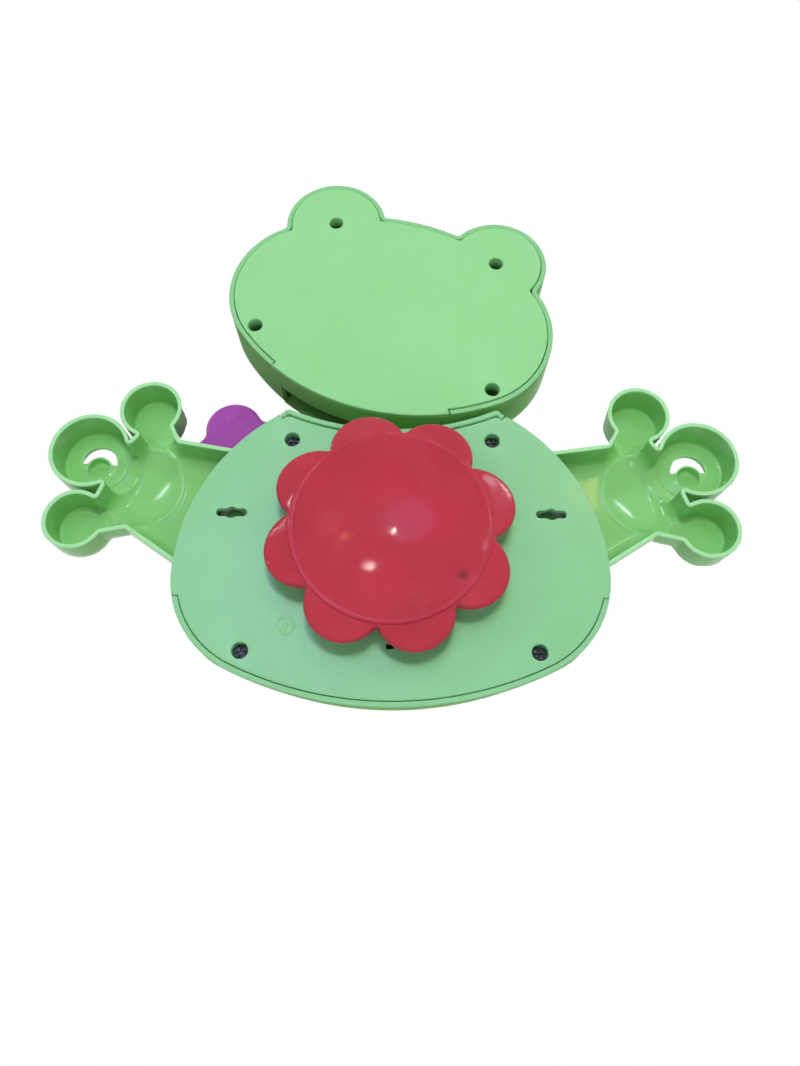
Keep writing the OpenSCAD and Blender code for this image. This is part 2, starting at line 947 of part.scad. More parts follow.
module wheel_cap() {
    crown_h = cap_h - cap_edge;
    crown_r = (pow(cap_r, 2) + pow(crown_h, 2)) / (2 * crown_h);
    color(sun_yellow)
        place(wheel_x, wheel_z)
            difference() {
                crowned_rod(cap_r, wheel_front, wheel_front + cap_h, crown_r);
                rod(axle_head_r + play, wheel_front - over, wheel_front + axle_head_h + 2 * play);
            }
}

module head_back_plate() {
    color(frog_green)
        head_frame()
            difference() {
                union() {
                    slab(plate_depth, plate_in)
                        head_lid_outline();
                    slab(plate_depth + over, plate_in + skirt_l)
                        intersection() {
                            difference() {
                                head_outline(0);
                                head_outline(wall);
                            }
                            neck_gate(slot_half_a - atan(seam / head_half_h));
                        }
                    head_screw_places()
                        rod(sleeve_r, plate_depth + over, head_sleeve_end);
                    rod(pin_boss_r, plate_depth + over, neck_rear - play);
                }
                head_screw_places()
                    sleeve_hole(head_seat_depth);
                rod(pin_r + push_fit, plate_in, neck_rear);
            }
}

module head_front_shell() {
    color(frog_green)
        head_frame()
            difference() {
                union() {
                    difference() {
                        face_form(0, plate_depth);
                        face_form(wall, plate_depth - over);
                    }
                    intersection() {
                        union() {
                            head_screw_places()
                                rod(sleeve_r, head_sleeve_end, head_front);
                            rod(pin_boss_r, neck_front + play, head_front);
                        }
                        face_form(0, plate_in);
                    }
                    both_sides()
                        place(eye_x, eye_z)
                            rod(eye_r + eye_ring_w, eye_pad_depth - eye_ring_w - eye_pocket, eye_pad_depth);
                }
                slab(plate_depth - over, neck_front + slot_spare)
                    difference() {
                        neck_gate(slot_half_a);
                        head_outline(wall + seam);
                    }
                slab(plate_depth - over, plate_in + seam)
                    difference() {
                        neck_gate(tab_half_a);
                        head_outline(wall + seam);
                    }
                both_sides()
                    place(eye_x, eye_z)
                        rod(eye_r + push_fit, eye_pad_depth - eye_pocket, head_front + over);
                head_screw_places()
                    rod(screw_r + push_fit, head_sleeve_end - over, head_seat_depth + screw_l + play);
                rod(pin_r + push_fit, neck_front, head_front - 2 * wall);
                face_marks();
            }
}

// The mouth's groove and the nostrils
module face_marks() {
    mouth_depth = head_front - face_r + sqrt(pow(face_r, 2) - pow(mouth_r, 2));
    translate([0, -mouth_depth, head_mid_z])
        rotate([90, 0, 0])
            rotate([0, 0, -90 - mouth_half_a])
                rotate_extrude(angle = 2 * mouth_half_a)
                    translate([mouth_r, 0])
                        circle(mouth_groove_r);
    both_sides()
        place(nostril_x, nostril_z)
            rod(nostril_r, head_front - wall, head_front + over);
}

module head_screws() {
    color(steel)
        head_frame()
            head_screw_places()
                screw(head_seat_depth);
}

module head_pivot_pin() {
    color(steel)
        head_frame()
            rod(pin_r, plate_in, head_front - 2 * wall);
}

module eye() {
    rear = eye_pad_depth - eye_pocket;
    top = rear + eye_edge + eye_bulge;
    crown_r = (pow(eye_r, 2) + pow(eye_bulge, 2)) / (2 * eye_bulge);
    difference() {
        crowned_rod(eye_r, rear, top, crown_r);
        rod(pupil_r + push_fit, top - pupil_pocket, top + over);
    }
}

module pupil() {
    top = eye_pad_depth - eye_pocket + eye_edge + eye_bulge;
    crown_r = (pow(eye_r, 2) + pow(eye_bulge, 2)) / (2 * eye_bulge) + pupil_out;
    crowned_rod(pupil_r, top - pupil_pocket, top + pupil_out, crown_r);
}

// An eye piece on the frog's left (1) or right (-1)
module at_eye(side) {
    head_frame()
        place(side * eye_x, eye_z)
            children();
}

module left_eye() {
    color(soft_white)
        at_eye(1)
            eye();
}

module right_eye() {
    color(soft_white)
        at_eye(-1)
            eye();
}

module left_pupil() {
    color(ink)
        at_eye(1)
            pupil();
}

module right_pupil() {
    color(ink)
        at_eye(-1)
            pupil();
}

suction_flower();
suction_clip();
body_back_plate();
body_front_shell();
body_screws();
neck_post();
neck_screws();
tummy_button();
squeaker_bellows();
squeaker_reed();
squeaker_seat();
left_arm();
right_arm();
shoulder_washers();
flower_wheel();
wheel_axle();
wheel_cap();
head_back_plate();
head_front_shell();
head_screws();
head_pivot_pin();
left_eye();
right_eye();
left_pupil();
right_pupil();
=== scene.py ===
"""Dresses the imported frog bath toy: moulded green shells, a soft red suction flower and a purple spinner."""
import math

import bmesh
import bpy
import numpy as np
from mathutils import Matrix, Vector
from mathutils.geometry import delaunay_2d_cdt
from numpy.linalg import norm


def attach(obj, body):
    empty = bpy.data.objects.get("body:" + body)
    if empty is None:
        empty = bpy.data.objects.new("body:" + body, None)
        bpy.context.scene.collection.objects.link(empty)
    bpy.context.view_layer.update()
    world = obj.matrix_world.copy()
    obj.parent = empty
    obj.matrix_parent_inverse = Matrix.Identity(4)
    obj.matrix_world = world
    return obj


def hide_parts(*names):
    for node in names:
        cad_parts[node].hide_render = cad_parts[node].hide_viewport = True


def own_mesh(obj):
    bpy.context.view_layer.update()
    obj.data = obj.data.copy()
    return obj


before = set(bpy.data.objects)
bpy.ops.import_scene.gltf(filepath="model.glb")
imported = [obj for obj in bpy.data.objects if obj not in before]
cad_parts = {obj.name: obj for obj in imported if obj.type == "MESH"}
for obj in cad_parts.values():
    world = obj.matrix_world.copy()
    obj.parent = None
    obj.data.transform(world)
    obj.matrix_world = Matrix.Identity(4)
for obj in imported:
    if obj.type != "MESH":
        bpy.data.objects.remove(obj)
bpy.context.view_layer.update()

# Sizes are in millimetres, as in the part's source. Flat points are (x, z), and depths run from the
# suction rim towards the frog's front, along -Y.
MM = 0.001
PLATE_DEPTH, PLATE_IN = 17.0, 20.0
WALL, SEAM, RUN_GAP = 2.2, 0.3, 0.07

RIM_R, LIP_W, LIP_T, BOWL_DEPTH = 40.0, 1.6, 1.8, 9.0
PETAL_COUNT, PETAL_R, PETAL_PITCH, PETAL_TURN = 8, 15.8, 34.8, 29.5
PETAL_DEPTH, PETAL_FRONT, CUP_NECK_R, CUP_CONE_R, CUP_FRONT = 3.0, 6.0, 34.0, 12.0, 12.0
STEM_R, GROOVE_R, CLIP_REAR, CLIP_FRONT, STEM_END = 8.0, 6.6, 20.3, 22.1, 26.1

BODY_HALF_W, CORNER_R, BODY_DROP, WIDE_Z, SHOULDER_R = 88.0, 44.0, 53.8, -14.0, 84.0
NECKLINE_R, NECKLINE_Z = 110.0, 49.8
BODY_FRONT, BELLY_R, BELLY_Z, BELLY_DRAFT = 50.0, 455.0, -8.0, 7.0
GATE_LOW, GATE_HIGH, GATE_FRONT = -7.0, 55.5, 36.5
BODY_SCREWS = [(42.6, 45.0), (58.0, -46.4)]
SCREW_HOLE_R, SLEEVE_R, SLEEVE_FLOOR, BODY_SEAT, HEAD_SEAT = 3.2, 5.0, 2.0, 22.5, 33.0
SLOT_X, SLOT_Z, SLOT_L, SLOT_W, SLOT_EYE_R = 65.8, 11.2, 12.5, 3.3, 2.5
DRAIN_Z, DRAIN_W, DRAIN_H, DRAIN_CORNER_R = -44.3, 3.0, 2.2, 0.3
BUTTON_Z, BUTTON_R, BUTTON_GAP = -22.0, 20.0, 0.3

ROOT_R = 30.0
FINGERS = [(41.7, 48.7, 13.5), (65.2, 27.7, 17.2), (66.0, -4.2, 13.1)]
FINGER_RINGS = (9.4, 11.8, 9.0)
WEB = np.array([(44.0, -7.6), (61.5, -11.7), (60.5, 2.2), (54.5, 21.3), (52.4, 27.8), (42.9, 40.5),
                (33.3, 45.6), (27.0, 34.2)])
ARM_RIM, ARM_FLOOR, ARM_FRONT, ARM_WALL = 20.3, 33.9, 35.9, 2.0
PALM_BOWL, PALM_BOWL_R, PALM_BULGE = (45.5, 17.0), 18.0, 4.0
EYE_HOLE_R, TONGUE_R, TONGUE_TOP, TONGUE_FOOT = 7.6, 5.8, 3.2, -0.3
POST_R, HUB_R, HUB_REAR, WELL_END = 4.0, 9.0, 26.3, 25.0
LEFT_ARM_TURN, RIGHT_ARM_TURN = 2.0, 0.0

WHEEL, WHEEL_PETALS, WHEEL_PETAL_R = (65.0, 36.0), 5, 13.6
WHEEL_PITCH, WHEEL_MID_R, WHEEL_TURN = 34.0, 36.5, 71.5
WHEEL_REAR, WHEEL_FRONT, AXLE_BORE_R = 50.3, 54.3, 2.57

HEAD_Z, HEAD_TILT = 117.5, -17.1
HEAD_HALF_W, HEAD_HALF_H, HEAD_END_R, HEAD_MID_Z = 75.5, 52.2, 40.0, -6.6
EYE_X, EYE_Z, EYE_BUMP_R = 39.5, 33.4, 23.5
HEAD_SCREWS = [(EYE_X, EYE_Z), (55.5, -32.4)]
HEAD_FRONT, FACE_R, NECK_GATE_A, NECK_GATE_FRONT, TAB_A, SKIRT_END = 56.0, 208.0, 37.0, 46.0, 40.0, 32.0
EYE_PAD_DEPTH, EYE_PAD_R, EYE_R, EYE_REAR, EYE_TOP, PUPIL_R = 51.0, 18.0, 15.0, 48.6, 56.2, 7.0
MOUTH_R, MOUTH_HALF_A, MOUTH_GROOVE = 40.0, 62.0, 1.4
NOSTRIL_X, NOSTRIL_Z, NOSTRIL_R = 8.0, 8.0, 1.8

# Fillets where outlines meet, lips of holes, and how finely surfaces are divided
NECKLINE_SOFT, BROW_SOFT, FINGER_SOFT, TONGUE_SOFT, SLOT_SOFT = 1.4, 1.5, 0.4, 0.8, 0.5
WELL_LIP, HOLE_LEDGE = 0.7, 0.3
SMALL_SIDES, HOLE_STEP, LINE_STEP, SHOWN_SPACING, HIDDEN_SPACING = 40, 0.4, 0.6, 2.0, 6.0

CORNER_X = BODY_HALF_W - CORNER_R
BOTTOM_R = (CORNER_X ** 2 + BODY_DROP ** 2 - CORNER_R ** 2) / (2 * (BODY_DROP - CORNER_R))
BOTTOM_Z = BOTTOM_R - BODY_DROP
HEAD_END_X = HEAD_HALF_W - HEAD_END_R
BROW_R = (HEAD_END_X ** 2 + HEAD_HALF_H ** 2 - HEAD_END_R ** 2) / (2 * (HEAD_HALF_H - HEAD_END_R))
BROW_Z = BROW_R - HEAD_HALF_H
EYE_FINGER = FINGERS[1][:2]
TONGUE_AT = (EYE_FINGER[0], EYE_FINGER[1] + TONGUE_TOP - TONGUE_R)


# Forms: signed distances to flat outlines, negative inside

def disc(p, x, z, r):
    return np.hypot(p[..., 0] - x, p[..., 1] - z) - r


def disc_at(x, z, r):
    return lambda p: disc(p, x, z, r)


neckline = disc_at(0, NECKLINE_Z + NECKLINE_R, NECKLINE_R)


def join(a, b, soft):
    """Union of two forms, with a fillet of about soft where they meet."""
    h = np.clip(soft - np.abs(a - b), 0, None) / soft
    return np.minimum(a, b) - h * h * soft / 4


def without(a, b, soft):
    """The first form less the second, with its new corners rounded."""
    return -join(-a, b, soft)


def polygon(p, corners):
    """Distance to the outline of a polygon, negative inside it."""
    side = np.roll(corners, -1, 0) - corners
    q = p[..., None, :] - corners
    t = np.clip((q * side).sum(-1) / (side * side).sum(-1), 0, 1)
    near = norm(q - t[..., None] * side, axis=-1).min(-1)
    level = (q[..., 1] < 0) != (q[..., 1] < side[:, 1])
    crossed = level & (q[..., 0] < side[:, 0] * q[..., 1] / np.where(side[:, 1] == 0, 1, side[:, 1]))
    return np.where(crossed.sum(-1) % 2 == 1, -near, near)


def spokes(centre, count, turn, pitch):
    """Places spread evenly round a centre, the first at an angle of turn."""
    angles = [math.radians(turn + i * 360 / count) for i in range(count)]
    return [(centre[0] + pitch * math.cos(a), centre[1] + pitch * math.sin(a)) for a in angles]


def petals(p, centre, count, turn, pitch, r, mid_r, soft):
    form = disc(p, *centre, mid_r)
    for x, z in spokes(centre, count, turn, pitch):
        form = join(form, disc(p, x, z, r), soft)
    return form


def body(p):
    x, z = np.abs(p[..., 0]), p[..., 1] - WIDE_Z
    q = np.stack([x, z], -1)
    below = CORNER_X * (z - BOTTOM_Z) + BOTTOM_Z * x < 0
    low = np.where(below, disc(q, 0, BOTTOM_Z, BOTTOM_R), disc(q, CORNER_X, 0, CORNER_R))
    form = np.where(z >= 0, disc(q, BODY_HALF_W - SHOULDER_R, 0, SHOULDER_R), low)
    return without(form, neckline(p), NECKLINE_SOFT)


def arm_gates(p):
    """Negative in the two wedges where the arms come out of the body."""
    x, z = np.abs(p[..., 0]), p[..., 1] - WIDE_Z
    low, high = math.radians(GATE_LOW), math.radians(GATE_HIGH)
    return np.maximum(x * math.sin(low) - z * math.cos(low), z * math.cos(high) - x * math.sin(high))


def body_lid(p):
    return np.minimum(body(p) + WALL + SEAM, np.maximum(body(p), arm_gates(p)))


def head(p):
    x, z = np.abs(p[..., 0]), np.abs(p[..., 1] - HEAD_MID_Z)
    brow = HEAD_END_X * (z + BROW_Z) - BROW_Z * x > 0
    oval = np.where(brow, np.hypot(x, z + BROW_Z) - BROW_R, np.hypot(x - HEAD_END_X, z) - HEAD_END_R)
    return join(oval, np.hypot(x - EYE_X, p[..., 1] - EYE_Z) - EYE_BUMP_R, BROW_SOFT)


def neck_gate(p, half_a):
    """Negative in a wedge below the head's pivot."""
    a = math.radians(half_a)
    return np.abs(p[..., 0]) * math.cos(a) + p[..., 1] * math.sin(a)


def head_lid(p):
    return np.minimum(head(p) + WALL + SEAM, np.maximum(head(p), neck_gate(p, TAB_A) + SEAM))


def root_tangent(corner, turn):
    """Place on the arm's root where the straight wall from a corner touches it."""
    a = math.atan2(corner[1], corner[0]) + turn * math.acos(ROOT_R / math.hypot(*corner))
    return ROOT_R * math.cos(a), ROOT_R * math.sin(a)


ARM_WALLS = np.array([
    (0.0, 0.0), root_tangent(WEB[0], -1), *WEB[:2], FINGERS[2][:2], *WEB[2:4], EYE_FINGER, *WEB[4:6],
    FINGERS[0][:2], *WEB[6:], root_tangent(WEB[7], 1)])


def arm(p):
    form = np.minimum(disc(p, 0, 0, ROOT_R), polygon(p, ARM_WALLS))
    for x, z, r in FINGERS:
        form = join(form, disc(p, x, z, r), FINGER_SOFT)
    return form


def finger_eye(p):
    """The hole in the middle finger, round the tongue that stands in it."""
    tongue = join(disc(p, *TONGUE_AT, TONGUE_R), p[..., 1] - EYE_FINGER[1] - TONGUE_FOOT, TONGUE_SOFT)
    return without(disc(p, *EYE_FINGER, EYE_HOLE_R), tongue, TONGUE_SOFT)


def hanging_slot(p, x):
    along = np.maximum(np.abs(p[..., 0] - x) - (SLOT_L - SLOT_W) / 2, 0)
    slit = np.hypot(along, p[..., 1] - SLOT_Z) - SLOT_W / 2
    return join(slit, disc(p, x, SLOT_Z, SLOT_EYE_R), SLOT_SOFT)


def drain(p):
    dx = np.abs(p[..., 0]) - DRAIN_W / 2 + DRAIN_CORNER_R
    dz = np.abs(p[..., 1] - DRAIN_Z) - DRAIN_H / 2 + DRAIN_CORNER_R
    return np.hypot(np.maximum(dx, 0), np.maximum(dz, 0)) + np.minimum(np.maximum(dx, dz), 0) - DRAIN_CORNER_R


# Walking round a form, and copies of that walk further in

def slope(form, p):
    """Value of a form at points, and the unit direction in which it grows."""
    h, tiny = 1e-3, 1e-9
    value = form(p)
    g = np.stack([form(p + (h, 0)) - value, form(p + (0, h)) - value], -1)
    return value, g / np.maximum(norm(g, axis=-1, keepdims=True), tiny)


def settle(form, p, times):
    """Points moved onto a form's outline, and the directions out of it there."""
    for _ in range(times):
        value, normal = slope(form, p)
        p = p - value[..., None] * normal
    return p, normal


def walk(form, start, step, inset=0.0):
    """Points round a form's outline, from the one nearest to start. Where they would spread too far apart
    when all move in by inset, more are put between them."""
    most, closed, gap, rounds = 5000, 0.8 * step, 0.8, 5
    p, normal = settle(form, np.array(start, float), 40)
    points = [p]
    while len(points) < most:
        p, normal = settle(form, p + step * np.array([-normal[1], normal[0]]), 3)
        if len(points) > 5 and norm(p - points[0]) < closed:
            break
        points.append(p)
    points = np.array(points)
    for _ in range(rounds if inset else 0):
        moved = inward(form, points, inset)
        wide = norm(np.roll(moved, -1, 0) - moved, axis=-1) > gap
        middle, _ = settle(form, (points + np.roll(points, -1, 0))[wide] / 2, 3)
        points = np.insert(points, np.flatnonzero(wide) + 1, middle, 0)
    return points


def inward(form, points, inset):
    """The same points moved inside the form by inset, or outside where it is negative."""
    longest_step = 0.4
    steps = max(1, math.ceil(abs(inset) / longest_step))
    for _ in range(steps if inset else 0):
        points = points - slope(form, points)[1] * (inset / steps)
    return points


def within(points, loops):
    """Which points lie in the area between closed loops, by the crossings of a ray."""
    inside = np.zeros(len(points), bool)
    for loop in loops:
        for (ax, az), (bx, bz) in zip(loop, np.roll(loop, -1, 0)):
            if az != bz:
                level = (az > points[:, 1]) != (bz > points[:, 1])
                inside ^= level & (points[:, 0] < ax + (points[:, 1] - az) * (bx - ax) / (bz - az))
    return inside


def circle(x, z, r, sides):
    a = np.arange(sides) * (2 * math.pi / sides)
    return np.stack([x + r * np.cos(a), z + r * np.sin(a)], -1)


def polar(x, z, radii, angles):
    """Points on rings round a place, for parts of a surface that need fine detail. The radii and the
    angles are given as (first, end, step)."""
    r, a = np.meshgrid(np.arange(*radii), np.radians(np.arange(*angles)))
    return np.stack([x + r * np.cos(a), z + r * np.sin(a)], -1).reshape(-1, 2)


def fillet(corners):
    """Profile through (offset, depth, radius) corners, each rounded to its radius."""
    steps = 5
    flat = [np.array(c[:2], float) for c in corners]
    points = [flat[0]]
    for before, here, after, corner in zip(flat, flat[1:], flat[2:], corners[1:]):
        u = (before - here) / norm(before - here)
        v = (after - here) / norm(after - here)
        half = math.acos(float(np.clip(u @ v, -1, 1))) / 2
        middle = here + (u + v) / norm(u + v) * corner[2] / math.sin(half)
        a, b = (here + w * corner[2] / math.tan(half) - middle for w in (u, v))
        turn = math.pi - 2 * half
        for i in range(steps + 1 if corner[2] else 1):
            t = i / steps
            points.append(middle + (math.sin((1 - t) * turn) * a + math.sin(t * turn) * b) / math.sin(turn))
    return points + [flat[-1]]


class Skin:
    """A surface gathered ring by ring."""

    def __init__(self):
        self.points = []
        self.faces = []

    def ring(self, flat, depth):
        flat = np.atleast_2d(np.asarray(flat, float))
        depth = depth(flat) if callable(depth) else depth
        first = len(self.points)
        self.points.extend((x, z, d) for (x, z), d in zip(flat, np.broadcast_to(depth, len(flat))))
        return np.arange(first, len(self.points))

    def loft(self, rings):
        """Faces between neighbouring rings. A ring of one point closes the surface to a tip."""
        for a, b in zip(rings, rings[1:]):
            count = max(len(a), len(b))
            for i in range(count):
                j = (i + 1) % count
                corners = [a[i % len(a)], a[j % len(a)], b[j % len(b)], b[i % len(b)]]
                self.faces.append(list(dict.fromkeys(int(c) for c in corners)))
        return rings

    def wrap(self, form, start, step, profile, inset=0.0):
        """Rings round an outline, one for each (inset, depth) of the profile, whose points suit an inset."""
        points = walk(form, start, step, inset)
        return self.loft([self.ring(inward(form, points, i), depth) for i, depth in profile])

    def turned(self, profile, x=0.0, z=0.0, sides=96):
        """Surface of revolution about the depth axis through (x, z), from (radius, depth) points."""
        return self.loft([self.ring(circle(x, z, r, sides) if r else [(x, z)], d) for r, d in profile])

    def cover(self, rims, form, inset, spacing, depth, holes=(), extra=()):
        """Closes the area between the rims with small triangles that follow a depth. New points stay inside
        the form by more than inset, and outside the holes [(form, clearance)]."""
        margin, same_place = 0.4 * spacing, 1e-5
        rim_ids = np.concatenate(rims)
        rim_flat = np.array([self.points[i][:2] for i in rim_ids])
        low, high = rim_flat.min(0), rim_flat.max(0)
        across, upward = (np.arange(low[i], high[i], spacing) for i in (0, 1))
        grid = np.stack(np.meshgrid(across, upward), -1)
        grid[1::2, :, 0] += spacing / 2
        inner = np.concatenate([grid.reshape(-1, 2), *extra])
        kept = form(inner) < -inset - margin
        for hole, clearance in holes:
            kept &= hole(inner) > clearance + margin
        inner = inner[kept]
        ids = np.concatenate([rim_ids, self.ring(inner, depth)])
        flat = np.concatenate([rim_flat, inner])
        edges, first = [], 0
        for rim in rims:
            edges += [(first + i, first + (i + 1) % len(rim)) for i in range(len(rim))]
            first += len(rim)
        verts, _, faces, origin, *_ = delaunay_2d_cdt([Vector(p) for p in flat], edges, [], 0, same_place)
        verts = np.array([v[:] for v in verts])
        place = [int(ids[o[0]]) if o else int(self.ring([v], depth)[0]) for v, o in zip(verts, origin)]
        loops = [np.array([self.points[i][:2] for i in rim]) for rim in rims]
        kept = within(verts[np.array(faces)].mean(1), loops)
        self.faces += [[place[i] for i in face] for face, keep in zip(faces, kept) if keep]

    def piece(self, name, paint, body_name, nodes, placed=None):
        """Makes the Blender object, which rides on a body and stands for CAD nodes."""
        sharp, same_place = 38.0, 1e-7
        points = np.array(self.points)
        flat = placed(points[:, :2]) if placed else points[:, :2]
        place = np.stack([flat[:, 0], -points[:, 2], flat[:, 1]], -1) * MM
        mesh = bpy.data.meshes.new(name)
        mesh.from_pydata(place.tolist(), [], [f for f in self.faces if len(f) > 2])
        work = bmesh.new()
        work.from_mesh(mesh)
        bmesh.ops.remove_doubles(work, verts=work.verts, dist=same_place)
        bmesh.ops.recalc_face_normals(work, faces=work.faces)
        work.to_mesh(mesh)
        work.free()
        mesh.shade_smooth()
        mesh.set_sharp_from_angle(angle=math.radians(sharp))
        mesh.materials.append(paint)
        obj = bpy.data.objects.new(name, mesh)
        bpy.context.scene.collection.objects.link(obj)
        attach(obj, body_name)
        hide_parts(*nodes)
        return obj


def spot(x, z, turn, side=1):
    """Takes flat points from a body's own frame, turned about its pivot (x, z), to the toy's. A side of -1
    mirrors them."""
    c, s = math.cos(math.radians(turn)), math.sin(math.radians(turn))

    def placed(flat):
        u, v = flat[:, 0], flat[:, 1]
        return np.stack([side * (x + u * c - v * s), z + u * s + v * c], -1)
    return placed


HEAD_SPOT = spot(0.0, HEAD_Z, -HEAD_TILT)


def ridge(distance, height, width):
    """Rounded line of a height along zero distance."""
    return height * np.exp(-(distance / width) ** 2)


def both_sides(places, depth):
    """Screw seats (x, z, depth) on both sides."""
    return [(side * x, z, depth) for x, z in places for side in (-1, 1)]


# Materials

def add_node(tree, kind, links=(), **settings):
    """Node with links [(socket, source)], and with settings for its properties and sockets."""
    node = tree.nodes.new(kind)
    for key, value in settings.items():
        if hasattr(node, key):
            setattr(node, key, value)
        else:
            node.inputs[key.replace("_", " ")].default_value = value
    for socket, source in links:
        tree.links.new(source, node.inputs[socket])
    return node


class Paint:
    """A Principled material whose nodes work in the object's own space."""

    def __init__(self, name, **values):
        self.material = bpy.data.materials.new(name)
        self.material.use_nodes = True
        self.tree = self.material.node_tree
        self.shader = self.tree.nodes["Principled BSDF"]
        self.place = self.add("ShaderNodeTexCoord").outputs["Object"]
        self.normal = None
        for socket, value in values.items():
            self.shader.inputs[socket.replace("_", " ")].default_value = value

    def add(self, kind, links=(), **settings):
        return add_node(self.tree, kind, links, **settings)

    def noise(self, scale, detail=3.0, stretch=None):
        place = self.place
        if stretch:
            place = self.add("ShaderNodeMapping", [("Vector", place)], Scale=stretch).outputs["Vector"]
        return self.add("ShaderNodeTexNoise", [("Vector", place)], Scale=scale, Detail=detail).outputs["Fac"]

    def span(self, source, low=0.0, high=1.0, start=0.35, end=0.65):
        """A value that runs from low to high while the source runs from start to end."""
        return self.add("ShaderNodeMapRange", [("Value", source)], From_Min=start, From_Max=end, To_Min=low,
                        To_Max=high).outputs["Result"]

    def edges(self, start, end):
        """One on the piece's outward edges and zero on its faces."""
        return self.span(self.add("ShaderNodeNewGeometry").outputs["Pointiness"], start=start, end=end)

    def mix(self, factor, a, b, share=None):
        """Colour a, or b where the factor is one. A share makes that change weaker."""
        if share:
            factor = self.span(factor, 0.0, share, 0.0, 1.0)
        node = self.add("ShaderNodeMix", [("Factor", factor)], data_type="RGBA")
        for socket, value in zip((node.inputs[6], node.inputs[7]), (a, b)):
            if isinstance(value, bpy.types.NodeSocket):
                self.tree.links.new(value, socket)
            else:
                socket.default_value = (*value, 1.0)
        return node.outputs[2]

    def put(self, socket, source):
        self.tree.links.new(source, self.shader.inputs[socket])

    def bump(self, height, distance):
        links = [("Height", height)] + ([("Normal", self.normal)] if self.normal else [])
        node = self.add("ShaderNodeBump", links, Distance=distance, Strength=1.0)
        self.normal = node.outputs["Normal"]
        self.put("Normal", self.normal)


def moulded(name, colour, shade, pale, rough, waves=0.0002, soft=0.0, gloss=0.4, rim=None, deep=None,
            grain=(900.0, 0.000008)):
    """Moulded plastic: clouded colour, pale edges that are a painted highlight, dull rubbed patches, slow
    waves and a fine grain. The open edge at the depth rim, if there is one, gets a painted highlight, a pale
    band.
    Holes below a face at the depth deep, if there is one, get painted shade that darkens them."""
    cloud_scale, rub_scale, wave_scale, soft_reach = 28.0, 70.0, 45.0, 0.004
    rub_share, edge_highlight_share, rim_highlight_share, hole_shade_share = 0.05, 0.45, 0.8, 0.85
    rim_highlight_from, rim_highlight_full = 1.3, 0.3
    darkening, hole_shade_from, hole_shade_full = (0.03, 0.11, 0.02), 2.4, 7.0
    paint = Paint(name, Specular_IOR_Level=gloss, Subsurface_Weight=soft, Subsurface_Scale=soft_reach)
    cloud = paint.span(paint.noise(cloud_scale))
    rubbed = paint.span(paint.noise(rub_scale, 2.0), end=0.75)
    base = paint.mix(rubbed, paint.mix(cloud, colour, shade), pale, rub_share)
    # Painted highlight: the outward edges are mixed towards the pale colour, as if they caught the light.
    base = paint.mix(paint.edges(0.51, 0.57), base, pale, edge_highlight_share)
    place_y = paint.add("ShaderNodeSeparateXYZ", [("Vector", paint.place)]).outputs["Y"]
    # Painted shade: below the depth deep, the holes darken towards a dark green the deeper they go.
    if deep:
        hole_shade = paint.span(place_y, hole_shade_share, 0.0, -(deep + hole_shade_full) * MM, -(deep + hole_shade_from) * MM)
        base = paint.mix(hole_shade, base, darkening)
    # Painted highlight: a pale band along the open edge at the depth rim, standing in for the light it
    # catches.
    if rim:
        rim_highlight = paint.span(place_y, 0.0, rim_highlight_share, -(rim + rim_highlight_from) * MM, -(rim + rim_highlight_full) * MM)
        base = paint.mix(rim_highlight, base, pale)
    paint.put("Base Color", base)
    paint.put("Roughness", paint.span(rubbed, *rough, 0.0, 1.0))
    paint.bump(paint.noise(wave_scale, 1.0), waves)
    paint.bump(paint.noise(grain[0], 2.0), grain[1])
    return paint.material


GREEN = moulded(
    "frog_green_plastic", (0.300, 0.690, 0.285), (0.280, 0.665, 0.260), (0.44, 0.80, 0.48), (0.28, 0.36),
    soft=0.05, gloss=0.12, deep=PLATE_DEPTH)
# Painted light: a darker, relatively bluer copy of the frog green, standing in for the cool sheen on the body
# plate.
BODY_GREEN_PAINTED_SHEEN = moulded(
    "body_green_painted_sheen", (0.250, 0.600, 0.285), (0.235, 0.580, 0.265), (0.42, 0.78, 0.50), (0.18, 0.26),
    waves=0.0003, soft=0.05, deep=PLATE_DEPTH, grain=(400.0, 0.00005))
# Painted shade: a darker copy of the frog green for the arms, whose cupped floors get less light.
ARM_GREEN_PAINTED_SHADE = moulded(
    "arm_green_painted_shade", (0.225, 0.580, 0.170), (0.210, 0.560, 0.150), (0.40, 0.80, 0.40), (0.12, 0.17),
    waves=0.0001, soft=0.05, gloss=0.35, rim=ARM_RIM)
# Painted shade: a darker, yellower copy of the frog green for the shells, whose walls stand in shade.
SHELL_GREEN_PAINTED_SHADE = moulded(
    "satin_green_painted_shade", (0.260, 0.570, 0.170), (0.240, 0.545, 0.150), (0.28, 0.63, 0.33), (0.50, 0.58),
    soft=0.05, gloss=0.02, rim=PLATE_DEPTH)
# Painted shade: a darker copy of the frog green for the parts inside the shells.
INNER_GREEN_PAINTED_SHADE = moulded(
    "inner_green_painted_shade", (0.150, 0.430, 0.090), (0.120, 0.380, 0.075), (0.30, 0.55, 0.25), (0.40, 0.52))
PURPLE = moulded(
    "purple_plastic", (0.400, 0.055, 0.410), (0.360, 0.045, 0.370), (0.58, 0.24, 0.60), (0.28, 0.38),
    soft=0.05)
WHITE = moulded(
    "white_plastic", (0.850, 0.850, 0.820), (0.800, 0.800, 0.770), (0.88, 0.88, 0.86), (0.18, 0.30))
BLACK = moulded(
    "black_plastic", (0.012, 0.012, 0.014), (0.018, 0.018, 0.020), (0.08, 0.08, 0.08), (0.14, 0.26))
YELLOW = moulded(
    "yellow_plastic", (0.860, 0.480, 0.035), (0.800, 0.420, 0.028), (0.90, 0.70, 0.30), (0.22, 0.36))
NYLON = moulded("nylon", (0.680, 0.700, 0.600), (0.620, 0.640, 0.540), (0.78, 0.78, 0.74), (0.45, 0.55))


